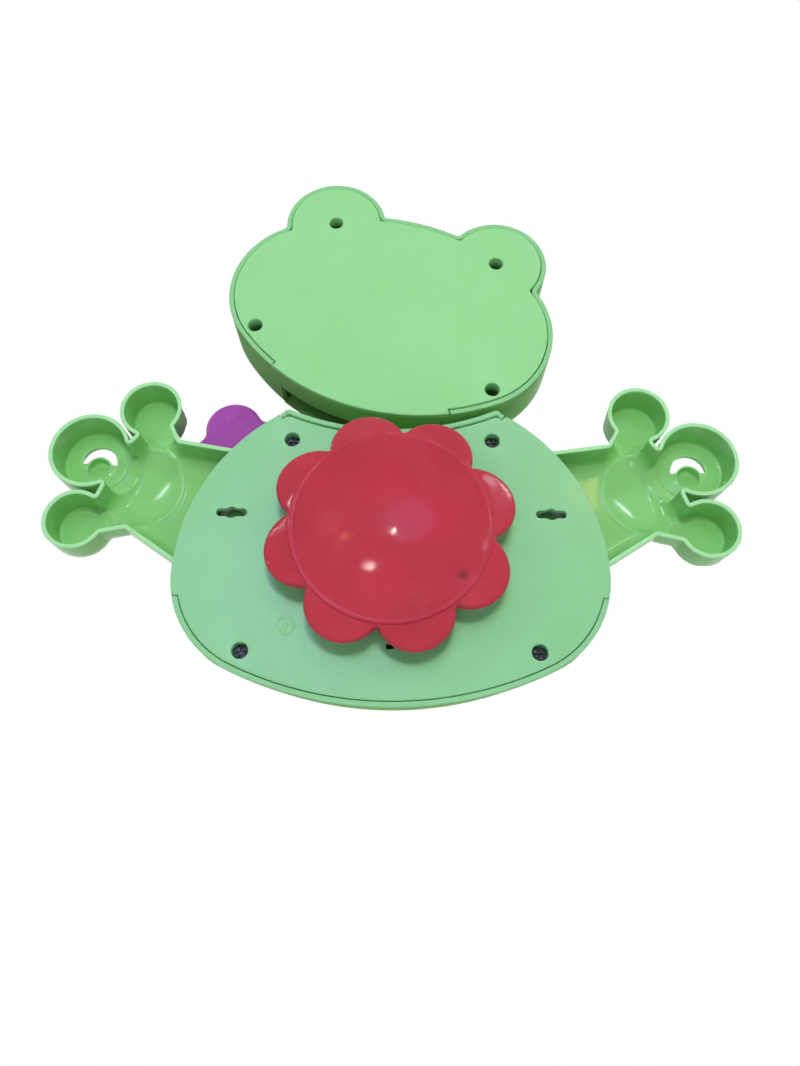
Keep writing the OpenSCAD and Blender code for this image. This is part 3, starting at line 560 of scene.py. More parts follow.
def soft_vinyl(name, colour, shade, pale, rough, smudge=None):
    """Soft PVC or rubber: satin, slightly see-through, with clouds, pale edges that are a painted highlight
    and dull handled spots. A dark mark lies at the place smudge, if one is given."""
    cloud_scale, bloom_scale, spot_scale, wave_scale, grain_scale = 40.0, 60.0, 130.0, 70.0, 1400.0
    waves, grain = 0.00015, 0.000012
    bloom_share, edge_highlight_share, smudge_share = 0.12, 0.6, 0.7
    smudge_colour, smudge_full, smudge_end = (0.12, 0.02, 0.03), 0.0006, 0.0032
    paint = Paint(name, Specular_IOR_Level=0.16, Subsurface_Weight=0.1, Subsurface_Scale=0.005,
                  Subsurface_Radius=(1.0, 0.35, 0.25))
    cloud = paint.span(paint.noise(cloud_scale, 4.0))
    bloom = paint.span(paint.noise(bloom_scale, 5.0), start=0.52, end=0.78)
    base = paint.mix(bloom, paint.mix(cloud, colour, shade), pale, bloom_share)
    # Painted highlight: the outward edges are mixed towards the pale colour, as if they caught the light.
    base = paint.mix(paint.edges(0.53, 0.62), base, pale, edge_highlight_share)
    if smudge:
        away = paint.add("ShaderNodeVectorMath", [(0, paint.place)], operation="DISTANCE")
        away.inputs[1].default_value = smudge
        mark = paint.span(away.outputs["Value"], smudge_share, 0.0, smudge_full, smudge_end)
        base = paint.mix(mark, base, smudge_colour)
    paint.put("Base Color", base)
    paint.put("Roughness", paint.span(paint.noise(spot_scale, 5.0), *rough))
    paint.bump(paint.noise(wave_scale, 2.0), waves)
    paint.bump(paint.noise(grain_scale, 2.0), grain)
    return paint.material


RED = soft_vinyl(
    "red_vinyl", (0.520, 0.036, 0.060), (0.460, 0.030, 0.050), (0.62, 0.16, 0.20), (0.06, 0.12),
    smudge=(-0.0275, -0.0020, -0.0200))
MILKY = soft_vinyl(
    "milky_rubber", (0.700, 0.710, 0.600), (0.640, 0.650, 0.540), (0.80, 0.80, 0.74), (0.42, 0.55))


def plated_steel():
    """Dulled zinc-plated steel with drive scratches and dark grime. Its very dark colour is partly painted
    shade.
    """
    # Painted shade: the base colour is kept very dark, standing in for the shade of the wells the screws sit
    # in.
    dark_steel_painted_shade, grime_colour = (0.080, 0.090, 0.090), (0.015, 0.018, 0.018)
    grime_scale, rough_scale, scratch_scale, scratches = 900.0, 1800.0, 2500.0, 0.00002
    paint = Paint("plated_steel", Metallic=1.0)
    darkening = paint.span(paint.noise(grime_scale, 5.0), start=0.36, end=0.62)
    paint.put("Base Color", paint.mix(darkening, dark_steel_painted_shade, grime_colour))
    paint.put("Roughness", paint.span(paint.noise(rough_scale, 4.0, (1.0, 0.1, 1.0)), 0.22, 0.48))
    paint.bump(paint.noise(scratch_scale, 3.0, (1.0, 1.0, 0.15)), scratches)
    return paint.material


STEEL = plated_steel()


# Back plates, each a lid with rounded edges, screw wells and sleeves

def well(skin, x, z, seat):
    """Screw hole from the plate's face to its seat. Returns its rims in the face and in the inner side."""
    end = seat + SLEEVE_FLOOR
    hole = skin.turned(fillet([
        (SCREW_HOLE_R + WELL_LIP, PLATE_DEPTH, 0), (SCREW_HOLE_R, PLATE_DEPTH, WELL_LIP),
        (SCREW_HOLE_R, seat, 0.3), (0.0, seat, 0)]), x, z, SMALL_SIDES)
    sleeve = skin.turned([(SLEEVE_R, PLATE_IN), (SLEEVE_R, end), (0.0, end)], x, z, SMALL_SIDES)
    return hole[0], sleeve[0]


def through(skin, form, start, lip):
    """Hole right through a plate. Returns its two rims."""
    rings = skin.wrap(form, start, HOLE_STEP, fillet([
        (-lip, PLATE_DEPTH, 0), (0, PLATE_DEPTH, lip), (0, PLATE_IN, 0.2), (-HOLE_LEDGE, PLATE_IN, 0)]))
    return rings[0], rings[-1]


def plate(skin, lid, start, seats, holes=(), depth=PLATE_DEPTH, extra=()):
    """Lid with screw wells at seats [(x, z, depth)] and holes [(form, start, lip)] through it. Its face lies
    at a depth, and has extra points where that needs them."""
    edge_r = 0.6
    inset = 2 * edge_r
    rings = skin.wrap(lid, start, LINE_STEP, fillet([
        (inset, PLATE_DEPTH, 0), (0, PLATE_DEPTH, edge_r), (0, PLATE_IN, 0.3), (inset, PLATE_IN, 0)]), inset)
    rims = [(rings[0], rings[-1])]
    rims += [well(skin, *seat) for seat in seats]
    rims += [through(skin, *hole) for hole in holes]
    back, front = zip(*rims)
    wells = lambda r: [(disc_at(x, z, r), 0.0) for x, z, _ in seats]
    lips = [(form, lip) for form, _, lip in holes]
    ledges = [(form, HOLE_LEDGE) for form, *_ in holes]
    skin.cover(back, lid, inset, SHOWN_SPACING, depth, wells(SCREW_HOLE_R + WELL_LIP) + lips, extra)
    skin.cover(front, lid, inset, HIDDEN_SPACING, PLATE_IN, wells(SLEEVE_R) + ledges)


def make_body_plate():
    mark, mark_r, dot_r = (40.6, -36.7), 3.4, 0.9
    swell_x, swell_z, swell_r = 69.2, -3.2, 6.5
    stem_lip, drain_lip, slot_lip = 0.4, 0.25, 0.45

    def face(p):
        ring = ridge(disc(p, *mark, mark_r), height=0.24, width=0.4)
        dot = ridge(disc(p, *mark, dot_r), height=0.2, width=0.35)
        swells = sum(ridge(disc(p, x, swell_z, swell_r), height=0.06, width=2.4) for x in (-swell_x, swell_x))
        return PLATE_DEPTH + (ring + dot) - swells

    skin = Skin()
    holes = [(disc_at(0, 0, STEM_R + RUN_GAP), (STEM_R, 0), stem_lip), (drain, (DRAIN_W, DRAIN_Z), drain_lip)]
    bore_r, tube_sides = HUB_R - WALL, 48
    for x in (-SLOT_X, SLOT_X):
        holes.append((lambda p, x=x: hanging_slot(p, x), (x, SLOT_Z + SLOT_EYE_R), slot_lip))
        skin.turned([(bore_r, PLATE_IN), (bore_r, WELL_END), (HUB_R, WELL_END), (HUB_R, PLATE_IN),
                     (bore_r, PLATE_IN)], x, SLOT_Z, tube_sides)
    fine = [polar(*mark, (0.3, 5.0, 0.3), (0, 360, 8))]
    seats = both_sides(BODY_SCREWS, BODY_SEAT)
    plate(skin, body_lid, (0, WIDE_Z - BODY_DROP + WALL), seats, holes, face, fine)
    skin.piece("back_plate", BODY_GREEN_PAINTED_SHEEN, "frog_body", ["body_back_plate"])


def make_head_plate():
    skin = Skin()
    plate(skin, head_lid, (0, HEAD_MID_Z + HEAD_HALF_H), both_sides(HEAD_SCREWS, HEAD_SEAT))
    skin.piece("head_plate", GREEN, "head", ["head_back_plate"], HEAD_SPOT)

    skin = Skin()
    rear, inset = PLATE_IN - 1, 0.5
    skirt = lambda p: np.maximum(np.maximum(head(p), -head(p) - WALL), neck_gate(p, NECK_GATE_A) + SEAM)
    rings = skin.wrap(skirt, (0, HEAD_MID_Z - HEAD_HALF_H), LINE_STEP, fillet([
        (inset, rear, 0), (0, rear, 0.1), (0, SKIRT_END, 0.3), (inset, SKIRT_END, 0)]))
    for ring, depth in ((rings[0], rear), (rings[-1], SKIRT_END)):
        skin.cover([ring], skirt, inset, SHOWN_SPACING, depth)
    skin.piece("head_skirt", SHELL_GREEN_PAINTED_SHADE, "head", ["head_back_plate"], HEAD_SPOT)


# Front shells, each a crowned cup with a rounded edge

def shell(skin, form, start, rim, front, edge_r, spacing, limit=lambda d: np.inf, bore=None, extra=()):
    """Hollow shell. rim gives the depth of its open edge and front the depth of its face. limit gives, for
    a depth, the largest distance from the bottom arc's centre. bore is a hole (x, z, r).
    Pairs of points stand close together where the open edge steps, so that its ends are upright."""
    step, halvings, edge_steps = 0.7, 8, 8
    lip, lip_middle, turn, turn_end, corner = 0.45, (0.13, 0.32), 0.8, 2.5, 3.0
    bore_turn, bore_ledge, bore_sides = 1.4, 0.5, 72
    centre = (0, WIDE_Z + BOTTOM_Z)
    points = walk(form, start, step, WALL + corner)
    edge = rim(points)
    for i in np.flatnonzero(np.abs(np.roll(edge, -1) - edge) > 1)[::-1]:
        a, b = points[i], points[(i + 1) % len(points)]
        for _ in range(halvings):
            middle = (a + b) / 2
            a, b = (middle, b) if rim(middle) == edge[i] else (a, middle)
        points = np.insert(points, i + 1, [a, b], 0)
    edge = rim(points)
    foot = edge + lip

    def ring(inset, depth):
        flat = inward(form, points, inset)
        d = depth(flat) if callable(depth) else depth
        rel = flat - centre
        reach = norm(rel, axis=-1, keepdims=True)
        over = np.clip(reach[:, 0] + inset - limit(d), 0, None)
        return skin.ring(flat - rel / reach * over[:, None], d)

    inner = lambda p: front(p) - WALL
    rings = [ring(WALL + corner, inner), ring(WALL + turn, lambda p: np.maximum(inner(p) - turn, foot)),
             ring(WALL, lambda p: np.maximum(inner(p) - turn_end, foot))]
    rings += [ring(inset, foot - drop) for inset, drop in (
        (WALL, 0.0), (WALL - lip_middle[0], lip_middle[1]), (WALL - lip, lip), (lip, lip), lip_middle,
        (0.0, 0.0))]
    flank = front(points) - edge_r - edge - lip
    rings += [ring(0.0, foot + flank * t) for t in (0.25, 0.5, 0.75)]
    for i in range(edge_steps + 1):
        a = math.radians(i * 90 / edge_steps)
        drop = edge_r * (1 - math.sin(a))
        rings.append(ring(edge_r * (1 - math.cos(a)), lambda p, drop=drop: front(p) - drop))
    skin.loft(rings)
    faces, backs = [rings[-1]], [rings[0]]
    if bore:
        x, z, r = bore
        profile = fillet([
            (r + bore_turn, 0, 0), (r, 0, bore_turn), (r, -WALL, 0), (r + bore_ledge, -WALL, 0)])
        holes = skin.loft([skin.ring(circle(x, z, radius, bore_sides), lambda p, d=d: front(p) + d)
                           for radius, d in profile])
        faces.append(holes[0])
        backs.append(holes[-1])

    area = lambda p: np.maximum(form(p), disc(p, *centre, limit(front(p))))
    bored = lambda wider: [(disc_at(x, z, r + wider), 0.0)] if bore else []
    skin.cover(faces, area, edge_r, spacing, front, bored(bore_turn), extra)
    skin.cover(backs, area, WALL + corner, HIDDEN_SPACING, inner, bored(bore_ledge))


def make_body_shell():
    boss_r, boss_fall, boss_soft = 5.4, 3, 1.0
    bead, bead_reach, end_gap = 1.0, 2, 0.6
    post_rear, post_front, post_turn = WELL_END + SEAM, BODY_FRONT - 10, 0.4
    draft = math.tan(math.radians(BELLY_DRAFT))

    def front(p):
        belly = BODY_FRONT - BELLY_R + np.sqrt(BELLY_R ** 2 - p[..., 0] ** 2 - (p[..., 1] - BELLY_Z) ** 2)
        boss = BODY_FRONT - boss_fall * np.clip(disc(p, *WHEEL, boss_r), 0, None)
        return -join(-belly, -boss, boss_soft)

    def rim(p):
        beaded = np.clip(bead_reach - np.abs(neckline(p)), 0, 1)
        return np.where(arm_gates(p) < end_gap, GATE_FRONT, PLATE_DEPTH - bead * beaded)

    skin = Skin()
    shell(skin, body, (0, WIDE_Z - BODY_DROP), rim, front, edge_r=3.0, spacing=2.5,
          limit=lambda d: BOTTOM_R - np.clip(d - PLATE_IN, 0, None) * draft,
          bore=(0, BUTTON_Z, BUTTON_R + BUTTON_GAP), extra=[polar(*WHEEL, (4.0, 9.0, 0.5), (0, 360, 6))])
    for x in (-SLOT_X, SLOT_X):
        skin.turned([(0.0, post_rear), (POST_R - post_turn, post_rear), (POST_R, post_rear + post_turn),
                     (POST_R, post_front), (0.0, post_front)], x, SLOT_Z, SMALL_SIDES)
    skin.piece("front_shell", SHELL_GREEN_PAINTED_SHADE, "frog_body", ["body_front_shell"])


def make_head_shell():
    pad_edge, pad_fall, pad_soft = 0.8, 2, 1.2
    smile_fade_from, smile_fade_a = 4, 5
    nostril_depth, set_back = 1.6, 0.6

    def front(p):
        x, z = p[..., 0], p[..., 1]
        dome = HEAD_FRONT - FACE_R + np.sqrt(FACE_R ** 2 - x ** 2 - (z - HEAD_MID_Z) ** 2)
        off_pad = np.hypot(np.abs(x) - EYE_X, z - EYE_Z) - EYE_PAD_R + pad_edge
        face = -join(-dome, -EYE_PAD_DEPTH + pad_fall * np.clip(off_pad, 0, None), pad_soft)
        past_smile = np.abs(np.degrees(np.arctan2(x, HEAD_MID_Z - z))) - MOUTH_HALF_A
        fade = np.clip(1 - np.clip(past_smile + smile_fade_from, 0, None) / smile_fade_a, 0, 1)
        groove = np.sqrt(np.clip(MOUTH_GROOVE ** 2 - disc(p, 0, HEAD_MID_Z, MOUTH_R) ** 2, 0, None)) * fade
        nostril = np.clip(1 - (np.hypot(np.abs(x) - NOSTRIL_X, z - NOSTRIL_Z) / NOSTRIL_R) ** 2, 0, None)
        return face - groove - nostril_depth * np.sqrt(nostril)

    def rim(p):
        tab = np.where(neck_gate(p, TAB_A) < 0, PLATE_IN + SEAM, PLATE_DEPTH + set_back)
        return np.where(neck_gate(p, NECK_GATE_A) < 0, NECK_GATE_FRONT, tab)

    skin = Skin()
    fine = [polar(0, HEAD_MID_Z, (MOUTH_R - 2.1, MOUTH_R + 2.2, 0.3),
                  (-94 - MOUTH_HALF_A, -86 + MOUTH_HALF_A, 0.8))]
    for side in (-1, 1):
        fine.append(polar(side * EYE_X, EYE_Z, (14.0, 21.0, 0.5), (0, 360, 3)))
        fine.append(polar(side * NOSTRIL_X, NOSTRIL_Z, (0.2, 2.6, 0.3), (0, 360, 15)))
    shell(skin, head, (0, HEAD_MID_Z + HEAD_HALF_H), rim, front, edge_r=3.2, spacing=2.2, extra=fine)
    skin.piece("face_shell", SHELL_GREEN_PAINTED_SHADE, "head", ["head_front_shell"], HEAD_SPOT)


# Arms: open hands with cupped fingers

def make_arm(name, side, turn):
    ball_r = (PALM_BOWL_R ** 2 + PALM_BULGE ** 2) / (2 * PALM_BULGE)
    hollow_r, front_r, floor_inset = 7.0, 3.2, ARM_WALL + 1.7
    palm_line_gap, hub_fall, mark_share = 1.2, 6, 0.36
    root_fade, finger_fade, palm_fade = 10, 3, 300
    eye_lip, post_lip, floor_spacing, front_spacing = 0.35, 0.3, 1.1, 1.6

    def dish(p):
        """Depth of the palm's bowl below the floor round it."""
        rho = np.minimum(disc(p, *PALM_BOWL, 0), PALM_BOWL_R)
        return np.clip(np.sqrt(ball_r ** 2 - rho ** 2) - (ball_r - PALM_BULGE), 0, None)

    def scoop(p):
        """Depth of the tongue's hollow below the finger's floor."""
        ledge, hollow, wall_from, wall_w, ramp_l, edge_w = 0.2, 3.2, 0.7, 0.9, 6, 0.6
        wall = np.clip((-disc(p, *TONGUE_AT, TONGUE_R) - wall_from) / wall_w, 0, 1)
        ramp = np.clip((p[..., 1] - EYE_FINGER[1] + EYE_HOLE_R - 1) / ramp_l, 0, 1)
        lowered = np.clip(-disc(p, *EYE_FINGER, EYE_HOLE_R) / edge_w, 0, 1)
        return lowered * (ledge + hollow * wall * wall * (3 - 2 * wall) * ramp)

    def rounded(p, r, inset):
        """How far the palm and the root curve up along their walls, which the fingers do not."""
        on_palm = np.clip(np.min([disc(p, *finger) for finger in FINGERS], 0) / finger_fade + 0.6, 0, 1)
        return on_palm * (r - np.sqrt(r ** 2 - np.clip(r + arm(p) + inset, 0, r) ** 2))

    def base(p):
        return ARM_FLOOR + dish(p) - rounded(p, hollow_r, ARM_WALL)

    def under(p):
        return ARM_FRONT + dish(p) - rounded(p, hollow_r + ARM_WALL, 0)

    def floor(p):
        root_side = np.clip((PALM_BOWL[0] - p[..., 0]) / root_fade + 0.6, 0, 1)
        line = ridge(disc(p, *PALM_BOWL, PALM_BOWL_R + palm_line_gap), height=0.45, width=0.9)
        depth = base(p) - line * root_side
        for (x, z, r), ring_r in zip(FINGERS, FINGER_RINGS):
            palm_x, palm_z = PALM_BOWL[0] - x, PALM_BOWL[1] - z
            along = (p[..., 0] - x) * palm_x + (p[..., 1] - z) * palm_z
            to_palm = np.clip(0.5 + along / palm_fade, 0, 1)
            depth = depth - ridge(disc(p, x, z, ring_r), height=0.4, width=0.5) * to_palm
            depth = depth + ridge(disc(p, x, z, r * mark_share), height=0.08, width=0.5)
        hub = HUB_REAR + hub_fall * np.clip(disc(p, 0, 0, HUB_R), 0, None)
        return np.minimum(depth + scoop(p), hub)

    front = lambda p: under(p) + scoop(p)
    skin = Skin()
    profile = fillet([
        (front_r + 0.1, ARM_FRONT, 0), (0, ARM_FRONT, front_r), (0, ARM_RIM, 0.4),
        (ARM_WALL - 0.2, ARM_RIM, 0.4), (ARM_WALL + 0.3, ARM_FLOOR, 1.3), (floor_inset + 0.1, ARM_FLOOR, 0)])

    def depth_of(inset, d):
        """Depth of a ring, which follows the palm's bowl as it goes down and keeps within the floor."""
        limit = under if inset < ARM_WALL / 2 or d > ARM_FLOOR else base
        down = min((d - ARM_RIM) / (ARM_FLOOR - ARM_RIM), 1)
        return lambda p: np.minimum(d + dish(p) * down, limit(p))

    rings = skin.wrap(arm, (-ROOT_R, 0), LINE_STEP, [(i, depth_of(i, d)) for i, d in profile], floor_inset)
    holes, tops, lows = [], [rings[-1]], [rings[0]]
    for form, start, lip in ((finger_eye, (EYE_FINGER[0], EYE_FINGER[1] + EYE_HOLE_R), eye_lip),
                             (disc_at(0, 0, POST_R + RUN_GAP), (POST_R, 0), post_lip)):
        points = walk(form, start, HOLE_STEP)
        profile = [(-lip, 0.0), (-0.3 * lip, 0.3 * lip), (0.0, lip)]
        top = [skin.ring(inward(form, points, i), lambda p, d=d: floor(p) + d) for i, d in profile]
        low = [skin.ring(inward(form, points, i), lambda p, d=d: front(p) - d) for i, d in reversed(profile)]
        skin.loft(top + low)
        holes.append((form, lip))
        tops.append(top[0])
        lows.append(low[-1])

    fine = [polar(*PALM_BOWL, (PALM_BOWL_R - 2, PALM_BOWL_R + 4, 0.6), (90, 300, 1.5)),
            polar(0, 0, (HUB_R - 1, HUB_R + 2.5, 0.4), (0, 360, 6)),
            polar(*EYE_FINGER, (1.0, EYE_HOLE_R + 0.6, 0.4), (180, 362, 5)),
            polar(*TONGUE_AT, (TONGUE_R - 2.3, TONGUE_R, 0.3), (-20, 201, 4))]
    for (x, z, _), ring_r in zip(FINGERS, FINGER_RINGS):
        fine.append(polar(x, z, (ring_r - 1.2, ring_r + 1.3, 0.4), (0, 360, 3)))
    skin.cover(tops, arm, floor_inset, floor_spacing, floor, holes, fine)
    skin.cover(lows, arm, front_r, front_spacing, front, holes)
    skin.piece(name + "_shell", ARM_GREEN_PAINTED_SHADE, name, [name], spot(SLOT_X, SLOT_Z, turn, side))


# Suction flower, purple flower and the small turned pieces

def make_suction_flower():
    mouth_r = RIM_R - LIP_W
    bowl_r = (mouth_r ** 2 + BOWL_DEPTH ** 2) / (2 * BOWL_DEPTH)
    radii = (0.0, 0.7, 1.2, 1.7, 2.4, *np.linspace(3.4, mouth_r - 0.6, 34))
    bowl = [(r, BOWL_DEPTH - bowl_r + math.sqrt(bowl_r ** 2 - r * r)) for r in radii]
    skin = Skin()
    skin.turned(bowl + fillet([
        bowl[-1] + (0,), (mouth_r, 0.0, 0.5), (RIM_R, 0.0, 0.7), (RIM_R, LIP_T, 0.7),
        (CUP_NECK_R, PETAL_DEPTH, 0.6), (CUP_NECK_R, PETAL_FRONT, 0.8), (CUP_CONE_R, CUP_FRONT, 2.0),
        (STEM_R, CUP_FRONT, 1.0), (STEM_R, CLIP_REAR, 0.2), (GROOVE_R, CLIP_REAR, 0.2),
        (GROOVE_R, CLIP_FRONT, 0.2), (STEM_R, CLIP_FRONT, 0.2), (STEM_R, STEM_END, 1.0),
        (0.0, STEM_END, 0)])[1:], sides=144)

    back_hole_r, front_hole_r, roll = RIM_R - 2.4, CUP_NECK_R - 1, 1.2
    rim_depth, droop_depth, edge_depth, step = 0.55, 4.7, 5.3, 0.8
    droop_r, edge_r = RIM_R - 1, PETAL_PITCH + PETAL_R
    form = lambda p: petals(p, (0, 0), PETAL_COUNT, PETAL_TURN, PETAL_PITCH, PETAL_R, CUP_NECK_R, soft=1.0)

    def face(p):
        """The petals' rear face falls away from the rim to their edges."""
        out = np.clip(disc(p, 0, 0, droop_r) / (edge_r - droop_r), 0, 1)
        return rim_depth + (droop_depth - rim_depth) * out

    arc = [math.radians(a) for a in range(0, 91, 10)]
    back = [(roll * (1 - math.cos(a)), lambda p, s=math.sin(a): edge_depth + (face(p) - edge_depth) * s)
            for a in reversed(arc)]
    front = [(roll * (1 - math.cos(a)), edge_depth + (PETAL_FRONT - edge_depth) * math.sin(a)) for a in arc]
    rings = skin.wrap(form, (edge_r, 0), step, back + front[1:], roll)
    hole = skin.turned([(back_hole_r, rim_depth), (front_hole_r, PETAL_FRONT)])
    for ring, depth, hole_ring, hole_r in ((rings[0], face, hole[0], back_hole_r),
                                           (rings[-1], PETAL_FRONT, hole[1], front_hole_r)):
        skin.cover([ring, hole_ring], form, roll, SHOWN_SPACING, depth, [(disc_at(0, 0, hole_r), 0.0)])
    skin.piece("suction_cup", RED, "suction", ["suction_flower"])


def make_wheel():
    petal_r, petal_soft, edge_r, step = WHEEL_PETAL_R - 0.2, 2.5, 1.9, 0.7
    ring_pitch, ring_turn, ring_r = WHEEL_PITCH + 2.0, 2.1, 3.8
    form = lambda p: petals(p, WHEEL, WHEEL_PETALS, WHEEL_TURN, WHEEL_PITCH, petal_r, WHEEL_MID_R, petal_soft)
    marks = spokes(WHEEL, WHEEL_PETALS, WHEEL_TURN + ring_turn, ring_pitch)
    rear = lambda p: WHEEL_REAR + sum(ridge(disc(p, *m, ring_r), height=0.22, width=0.5) for m in marks)
    skin = Skin()
    rings = skin.wrap(form, (WHEEL[0] + WHEEL_PITCH + WHEEL_PETAL_R, WHEEL[1]), step, fillet([
        (edge_r + 0.1, WHEEL_REAR, 0), (0, WHEEL_REAR, edge_r), (0, WHEEL_FRONT, edge_r),
        (edge_r + 0.1, WHEEL_FRONT, 0)]))
    bore = skin.turned([(AXLE_BORE_R, WHEEL_REAR), (AXLE_BORE_R, WHEEL_FRONT)], *WHEEL, SMALL_SIDES)
    bored = [(disc_at(*WHEEL, AXLE_BORE_R), 0.0)]
    fine = [polar(*m, (ring_r - 1.2, ring_r + 1.3, 0.4), (0, 360, 8)) for m in marks]
    skin.cover([rings[0], bore[0]], form, edge_r, SHOWN_SPACING, rear, bored, fine)
    skin.cover([rings[-1], bore[1]], form, edge_r, SHOWN_SPACING, WHEEL_FRONT, bored)
    skin.piece("petal_spinner", PURPLE, "flower", ["flower_wheel"])


def crown(r, top, rise, steps=14):
    """Profile of a cap that rises to top over its radius."""
    ball = (r * r + rise * rise) / (2 * rise)
    return [(x, top - ball + math.sqrt(ball ** 2 - x ** 2)) for x in np.linspace(0, r, steps + 1)]


def make_cap():
    r, top, recess_r, recess_end = 9.0, 59.3, 5.3, WHEEL_FRONT + 2.6
    skin = Skin()
    skin.turned(crown(r - 0.5, top, rise=3.6) + [
        (r - 0.1, top - 3.95), (r, top - 4.4), (r, WHEEL_FRONT), (recess_r, WHEEL_FRONT),
        (recess_r, recess_end), (0.0, recess_end)], *WHEEL)
    skin.piece("spinner_cap", YELLOW, "flower", ["wheel_cap"])


def make_button():
    top, rise, crown_r = 54.0, 1.8, BUTTON_R - 2.0
    flange_front, flange_rear, flange_r = 45.8, 44.2, BUTTON_R + 2.6
    skin = Skin()
    skin.turned(crown(crown_r, top, rise) + fillet([
        (crown_r, top - rise, 0), (BUTTON_R, top - 2.3, 1.6), (BUTTON_R, flange_front, 0.4),
        (flange_r, flange_front, 0.4), (flange_r, flange_rear, 0.3), (0.0, flange_rear, 0)])[1:], 0, BUTTON_Z)
    skin.piece("belly_button", MILKY, "button", ["tummy_button"])


def make_eye(side, x):
    seat = EYE_TOP - 2.6
    dome = [p for p in crown(EYE_R - 0.4, EYE_TOP, rise=4.8, steps=30) if p[0] > PUPIL_R]
    skin = Skin()
    skin.turned([(0.0, seat), (PUPIL_R + 0.02, seat)] + dome
                + [(EYE_R, EYE_TOP - 5.3), (EYE_R, EYE_REAR), (0.0, EYE_REAR)], x, EYE_Z)
    skin.piece(side + "_eye_white", WHITE, "head", [side + "_eye"], HEAD_SPOT)
    skin = Skin()
    skin.turned(crown(PUPIL_R - 0.3, EYE_TOP + 0.4, rise=1.0)
                + [(PUPIL_R, EYE_TOP - 0.95), (PUPIL_R, seat), (0.0, seat)], x, EYE_Z)
    skin.piece(side + "_eye_pupil", BLACK, "head", [side + "_pupil"], HEAD_SPOT)


def make_bellows():
    rear, front, outer, fold, thick, folds = 22.4, 43.9, 10.0, 1.6, 1.0, 5
    steps, sides, travel = 60, 64, 5.0
    wave = [0.5 - 0.5 * math.cos(2 * math.pi * folds * i / steps) for i in range(steps + 1)]
    wall = [(outer - fold * w, rear + (front - rear) * i / steps) for i, w in enumerate(wave)]
    inner = [(r - thick, min(d, front - thick)) for r, d in wall]
    skin = Skin()
    skin.turned([(0.0, front)] + wall[::-1] + inner + [(0.0, front - thick)], 0, BUTTON_Z, sides)
    obj = skin.piece("bellows", MILKY, "frog_body", ["squeaker_bellows"])
    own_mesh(obj)


make_suction_flower()
make_body_plate()
make_body_shell()
make_head_plate()
make_head_shell()
make_arm("left_arm", 1, LEFT_ARM_TURN)
make_arm("right_arm", -1, RIGHT_ARM_TURN)
make_wheel()
make_cap()
make_button()
make_eye("left", EYE_X)
make_eye("right", -EYE_X)
make_bellows()

# The CAD nodes that stay get their finish
for finish, names in ((STEEL, ("body_screws", "neck_screws", "head_screws", "head_pivot_pin", "wheel_axle")),
                      (INNER_GREEN_PAINTED_SHADE, ("neck_post", "squeaker_seat")),
                      (NYLON, ("squeaker_reed", "suction_clip", "shoulder_washers"))):
    for name in names:
        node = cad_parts[name]
        node.data.materials.clear()
        node.data.materials.append(finish)

# Camera at the photograph's place. The height and focal length are in the photograph's pixels
PHOTO_H, FOCAL_PX, SENSOR = 1066.0, 805.0, 36.0
CAMERA_AT = Vector((-3.58, 289.0, -114.96)) * MM
HEADING, PITCH, ROLL = math.radians(180.0), math.radians(21.0), math.radians(0.4)
camera_data = bpy.data.cameras.new("photo_camera")
camera_data.sensor_fit = "VERTICAL"
camera_data.sensor_height = SENSOR
camera_data.lens = FOCAL_PX / PHOTO_H * SENSOR
camera_data.clip_start = 0.01
camera = bpy.data.objects.new("photo_camera", camera_data)
camera.matrix_world = (Matrix.Translation(CAMERA_AT) @ Matrix.Rotation(HEADING, 4, "Z")
                       @ Matrix.Rotation(math.pi / 2 + PITCH, 4, "X") @ Matrix.Rotation(ROLL, 4, "Z"))
bpy.context.scene.collection.objects.link(camera)
bpy.context.scene.camera = camera
bpy.context.scene.view_settings.view_transform = "Standard"


# Light: a soft box and a lamp over the toy's back, a cool window, two side lamps, ceiling lamps and a fill

def lamp(name, way, distance, size, radiance, colour=(1, 1, 1), mirrored=True, length=None, roll=0.0):
    """Round or long area lamp that faces the toy from a direction, and shows in its gloss if mirrored."""
    aim = Vector((0.0, -0.02, 0.03))
    data = bpy.data.lights.new(name, "AREA")
    data.shape = "ELLIPSE"
    data.size = size
    data.size_y = length or size
    data.energy = radiance * math.pi * math.pi * data.size * data.size_y / 4
    data.color = colour
    obj = bpy.data.objects.new(name, data)
    at = aim + Vector(way).normalized() * distance
    facing = (at - aim).to_track_quat("Z", "Y").to_matrix().to_4x4()
    obj.matrix_world = Matrix.Translation(at) @ facing @ Matrix.Rotation(math.radians(roll), 4, "Z")
    obj.visible_camera = False
    obj.visible_glossy = mirrored
    bpy.context.scene.collection.objects.link(obj)


lamp("ceiling_box", (-0.05, 1.0, 0.80), 1.2, 1.1, radiance=0.65, colour=(0.92, 0.97, 1.0), mirrored=False)
lamp("over_lamp", (-0.05, 1.0, 0.12), 1.2, 0.18, radiance=66.0, colour=(1.0, 0.98, 0.88), mirrored=False)
for i, size in enumerate((0.12, 0.20, 0.28, 0.37, 0.46)):
    lamp(f"window_{i}", (0.145, 1.0, 0.255), 1.3, size, radiance=2.8, colour=(0.35, 0.40, 1.0))
for side, way, roll in (("left", (1.13, 1.0, 0.67), -27), ("right", (-1.36, 1.0, 1.15), 27)):
    lamp(side + "_side_lamp", way, 1.3, 0.05, radiance=40.0, colour=(0.80, 0.92, 1.0), length=0.4, roll=roll)
lamp("front_fill", (-0.35, -1.0, 0.55), 1.3, 1.0, radiance=4.0)
lamp("ceiling_lamp_0", (-0.34, 1.0, 0.446), 1.3, 0.024, radiance=110.0, colour=(1.0, 0.62, 0.24))
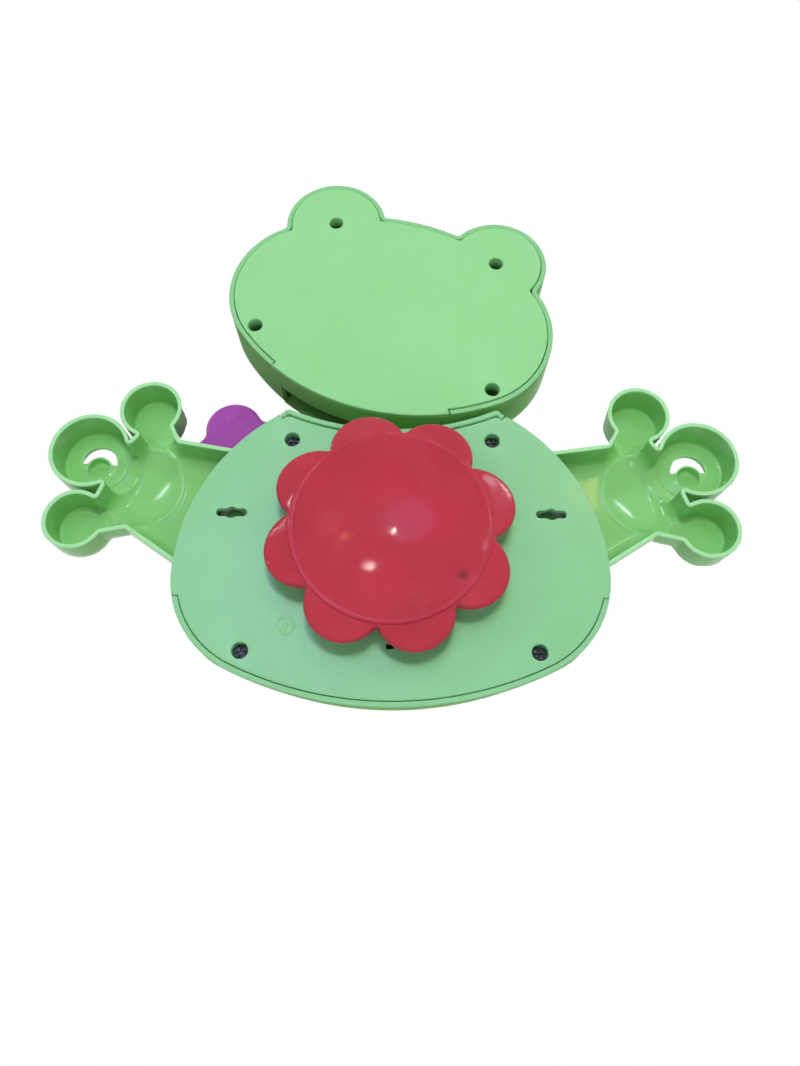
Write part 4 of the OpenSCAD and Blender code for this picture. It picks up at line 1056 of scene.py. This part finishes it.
lamp("ceiling_lamp_1", (0.03, 1.0, 0.355), 1.3, 0.05, radiance=150.0, colour=(1.0, 0.97, 0.92))
lamp("ceiling_lamp_2", (-0.16, 1.0, 0.76), 1.3, 0.05, radiance=150.0, colour=(1.0, 0.98, 0.95))


def seen_directly(tree):
    """One for the rays that show the background: from the camera, mirrored in gloss or through glass."""
    path = add_node(tree, "ShaderNodeLightPath")
    seen = path.outputs["Is Camera Ray"]
    for ray in ("Is Glossy Ray", "Is Transmission Ray"):
        links = [(0, seen), (1, path.outputs[ray])]
        seen = add_node(tree, "ShaderNodeMath", links, operation="MAXIMUM").outputs[0]
    return seen


def make_world(ambient, tint):
    """White where the background is seen, and a faint tinted light elsewhere."""
    world = bpy.data.worlds.new("studio")
    world.use_nodes = True
    bpy.context.scene.world = world
    tree = world.node_tree
    sky = tree.nodes["Background"]
    seen = seen_directly(tree)
    level = add_node(tree, "ShaderNodeMapRange", [("Value", seen)], To_Min=ambient, To_Max=1.0)
    hue = add_node(tree, "ShaderNodeMix", [("Factor", seen)], data_type="RGBA")
    hue.inputs[6].default_value = (*tint, 1.0)
    hue.inputs[7].default_value = (1, 1, 1, 1)
    tree.links.new(hue.outputs[2], sky.inputs["Color"])
    tree.links.new(level.outputs["Result"], sky.inputs["Strength"])


def make_floor():
    """Pale floor that keeps part of the toy's shadow near it and is white further away."""
    size, height = 6.0, -0.30
    fade_from, fade_to, shadow_share = 0.25, 0.60, 0.25
    paint = Paint("pale_floor", Base_Color=(0.92, 0.92, 0.92, 1.0), Roughness=0.9)
    flat = paint.add("ShaderNodeVectorMath", [(0, paint.place)], operation="MULTIPLY")
    flat.inputs[1].default_value = (1, 1, 0)
    away = paint.add("ShaderNodeVectorMath", [(0, flat.outputs["Vector"])], operation="LENGTH")
    white = paint.span(away.outputs["Value"], 1 - shadow_share, 1.0, fade_from, fade_to)
    share = paint.add("ShaderNodeMath", [(0, white), (1, seen_directly(paint.tree))], operation="MULTIPLY")
    glow = paint.add("ShaderNodeEmission")
    mixed = paint.add("ShaderNodeMixShader", [
        ("Fac", share.outputs[0]), (1, paint.shader.outputs[0]), (2, glow.outputs[0])])
    paint.tree.links.new(mixed.outputs[0], paint.tree.nodes["Material Output"].inputs["Surface"])

    mesh = bpy.data.meshes.new("floor")
    corners = [(x * size, y * size, height) for x, y in ((-1, -1), (1, -1), (1, 1), (-1, 1))]
    mesh.from_pydata(corners, [], [(0, 1, 2, 3)])
    mesh.materials.append(paint.material)
    floor_obj = bpy.data.objects.new("floor", mesh)
    bpy.context.scene.collection.objects.link(floor_obj)


make_world(ambient=0.07, tint=(1.0, 0.92, 0.72))
make_floor()
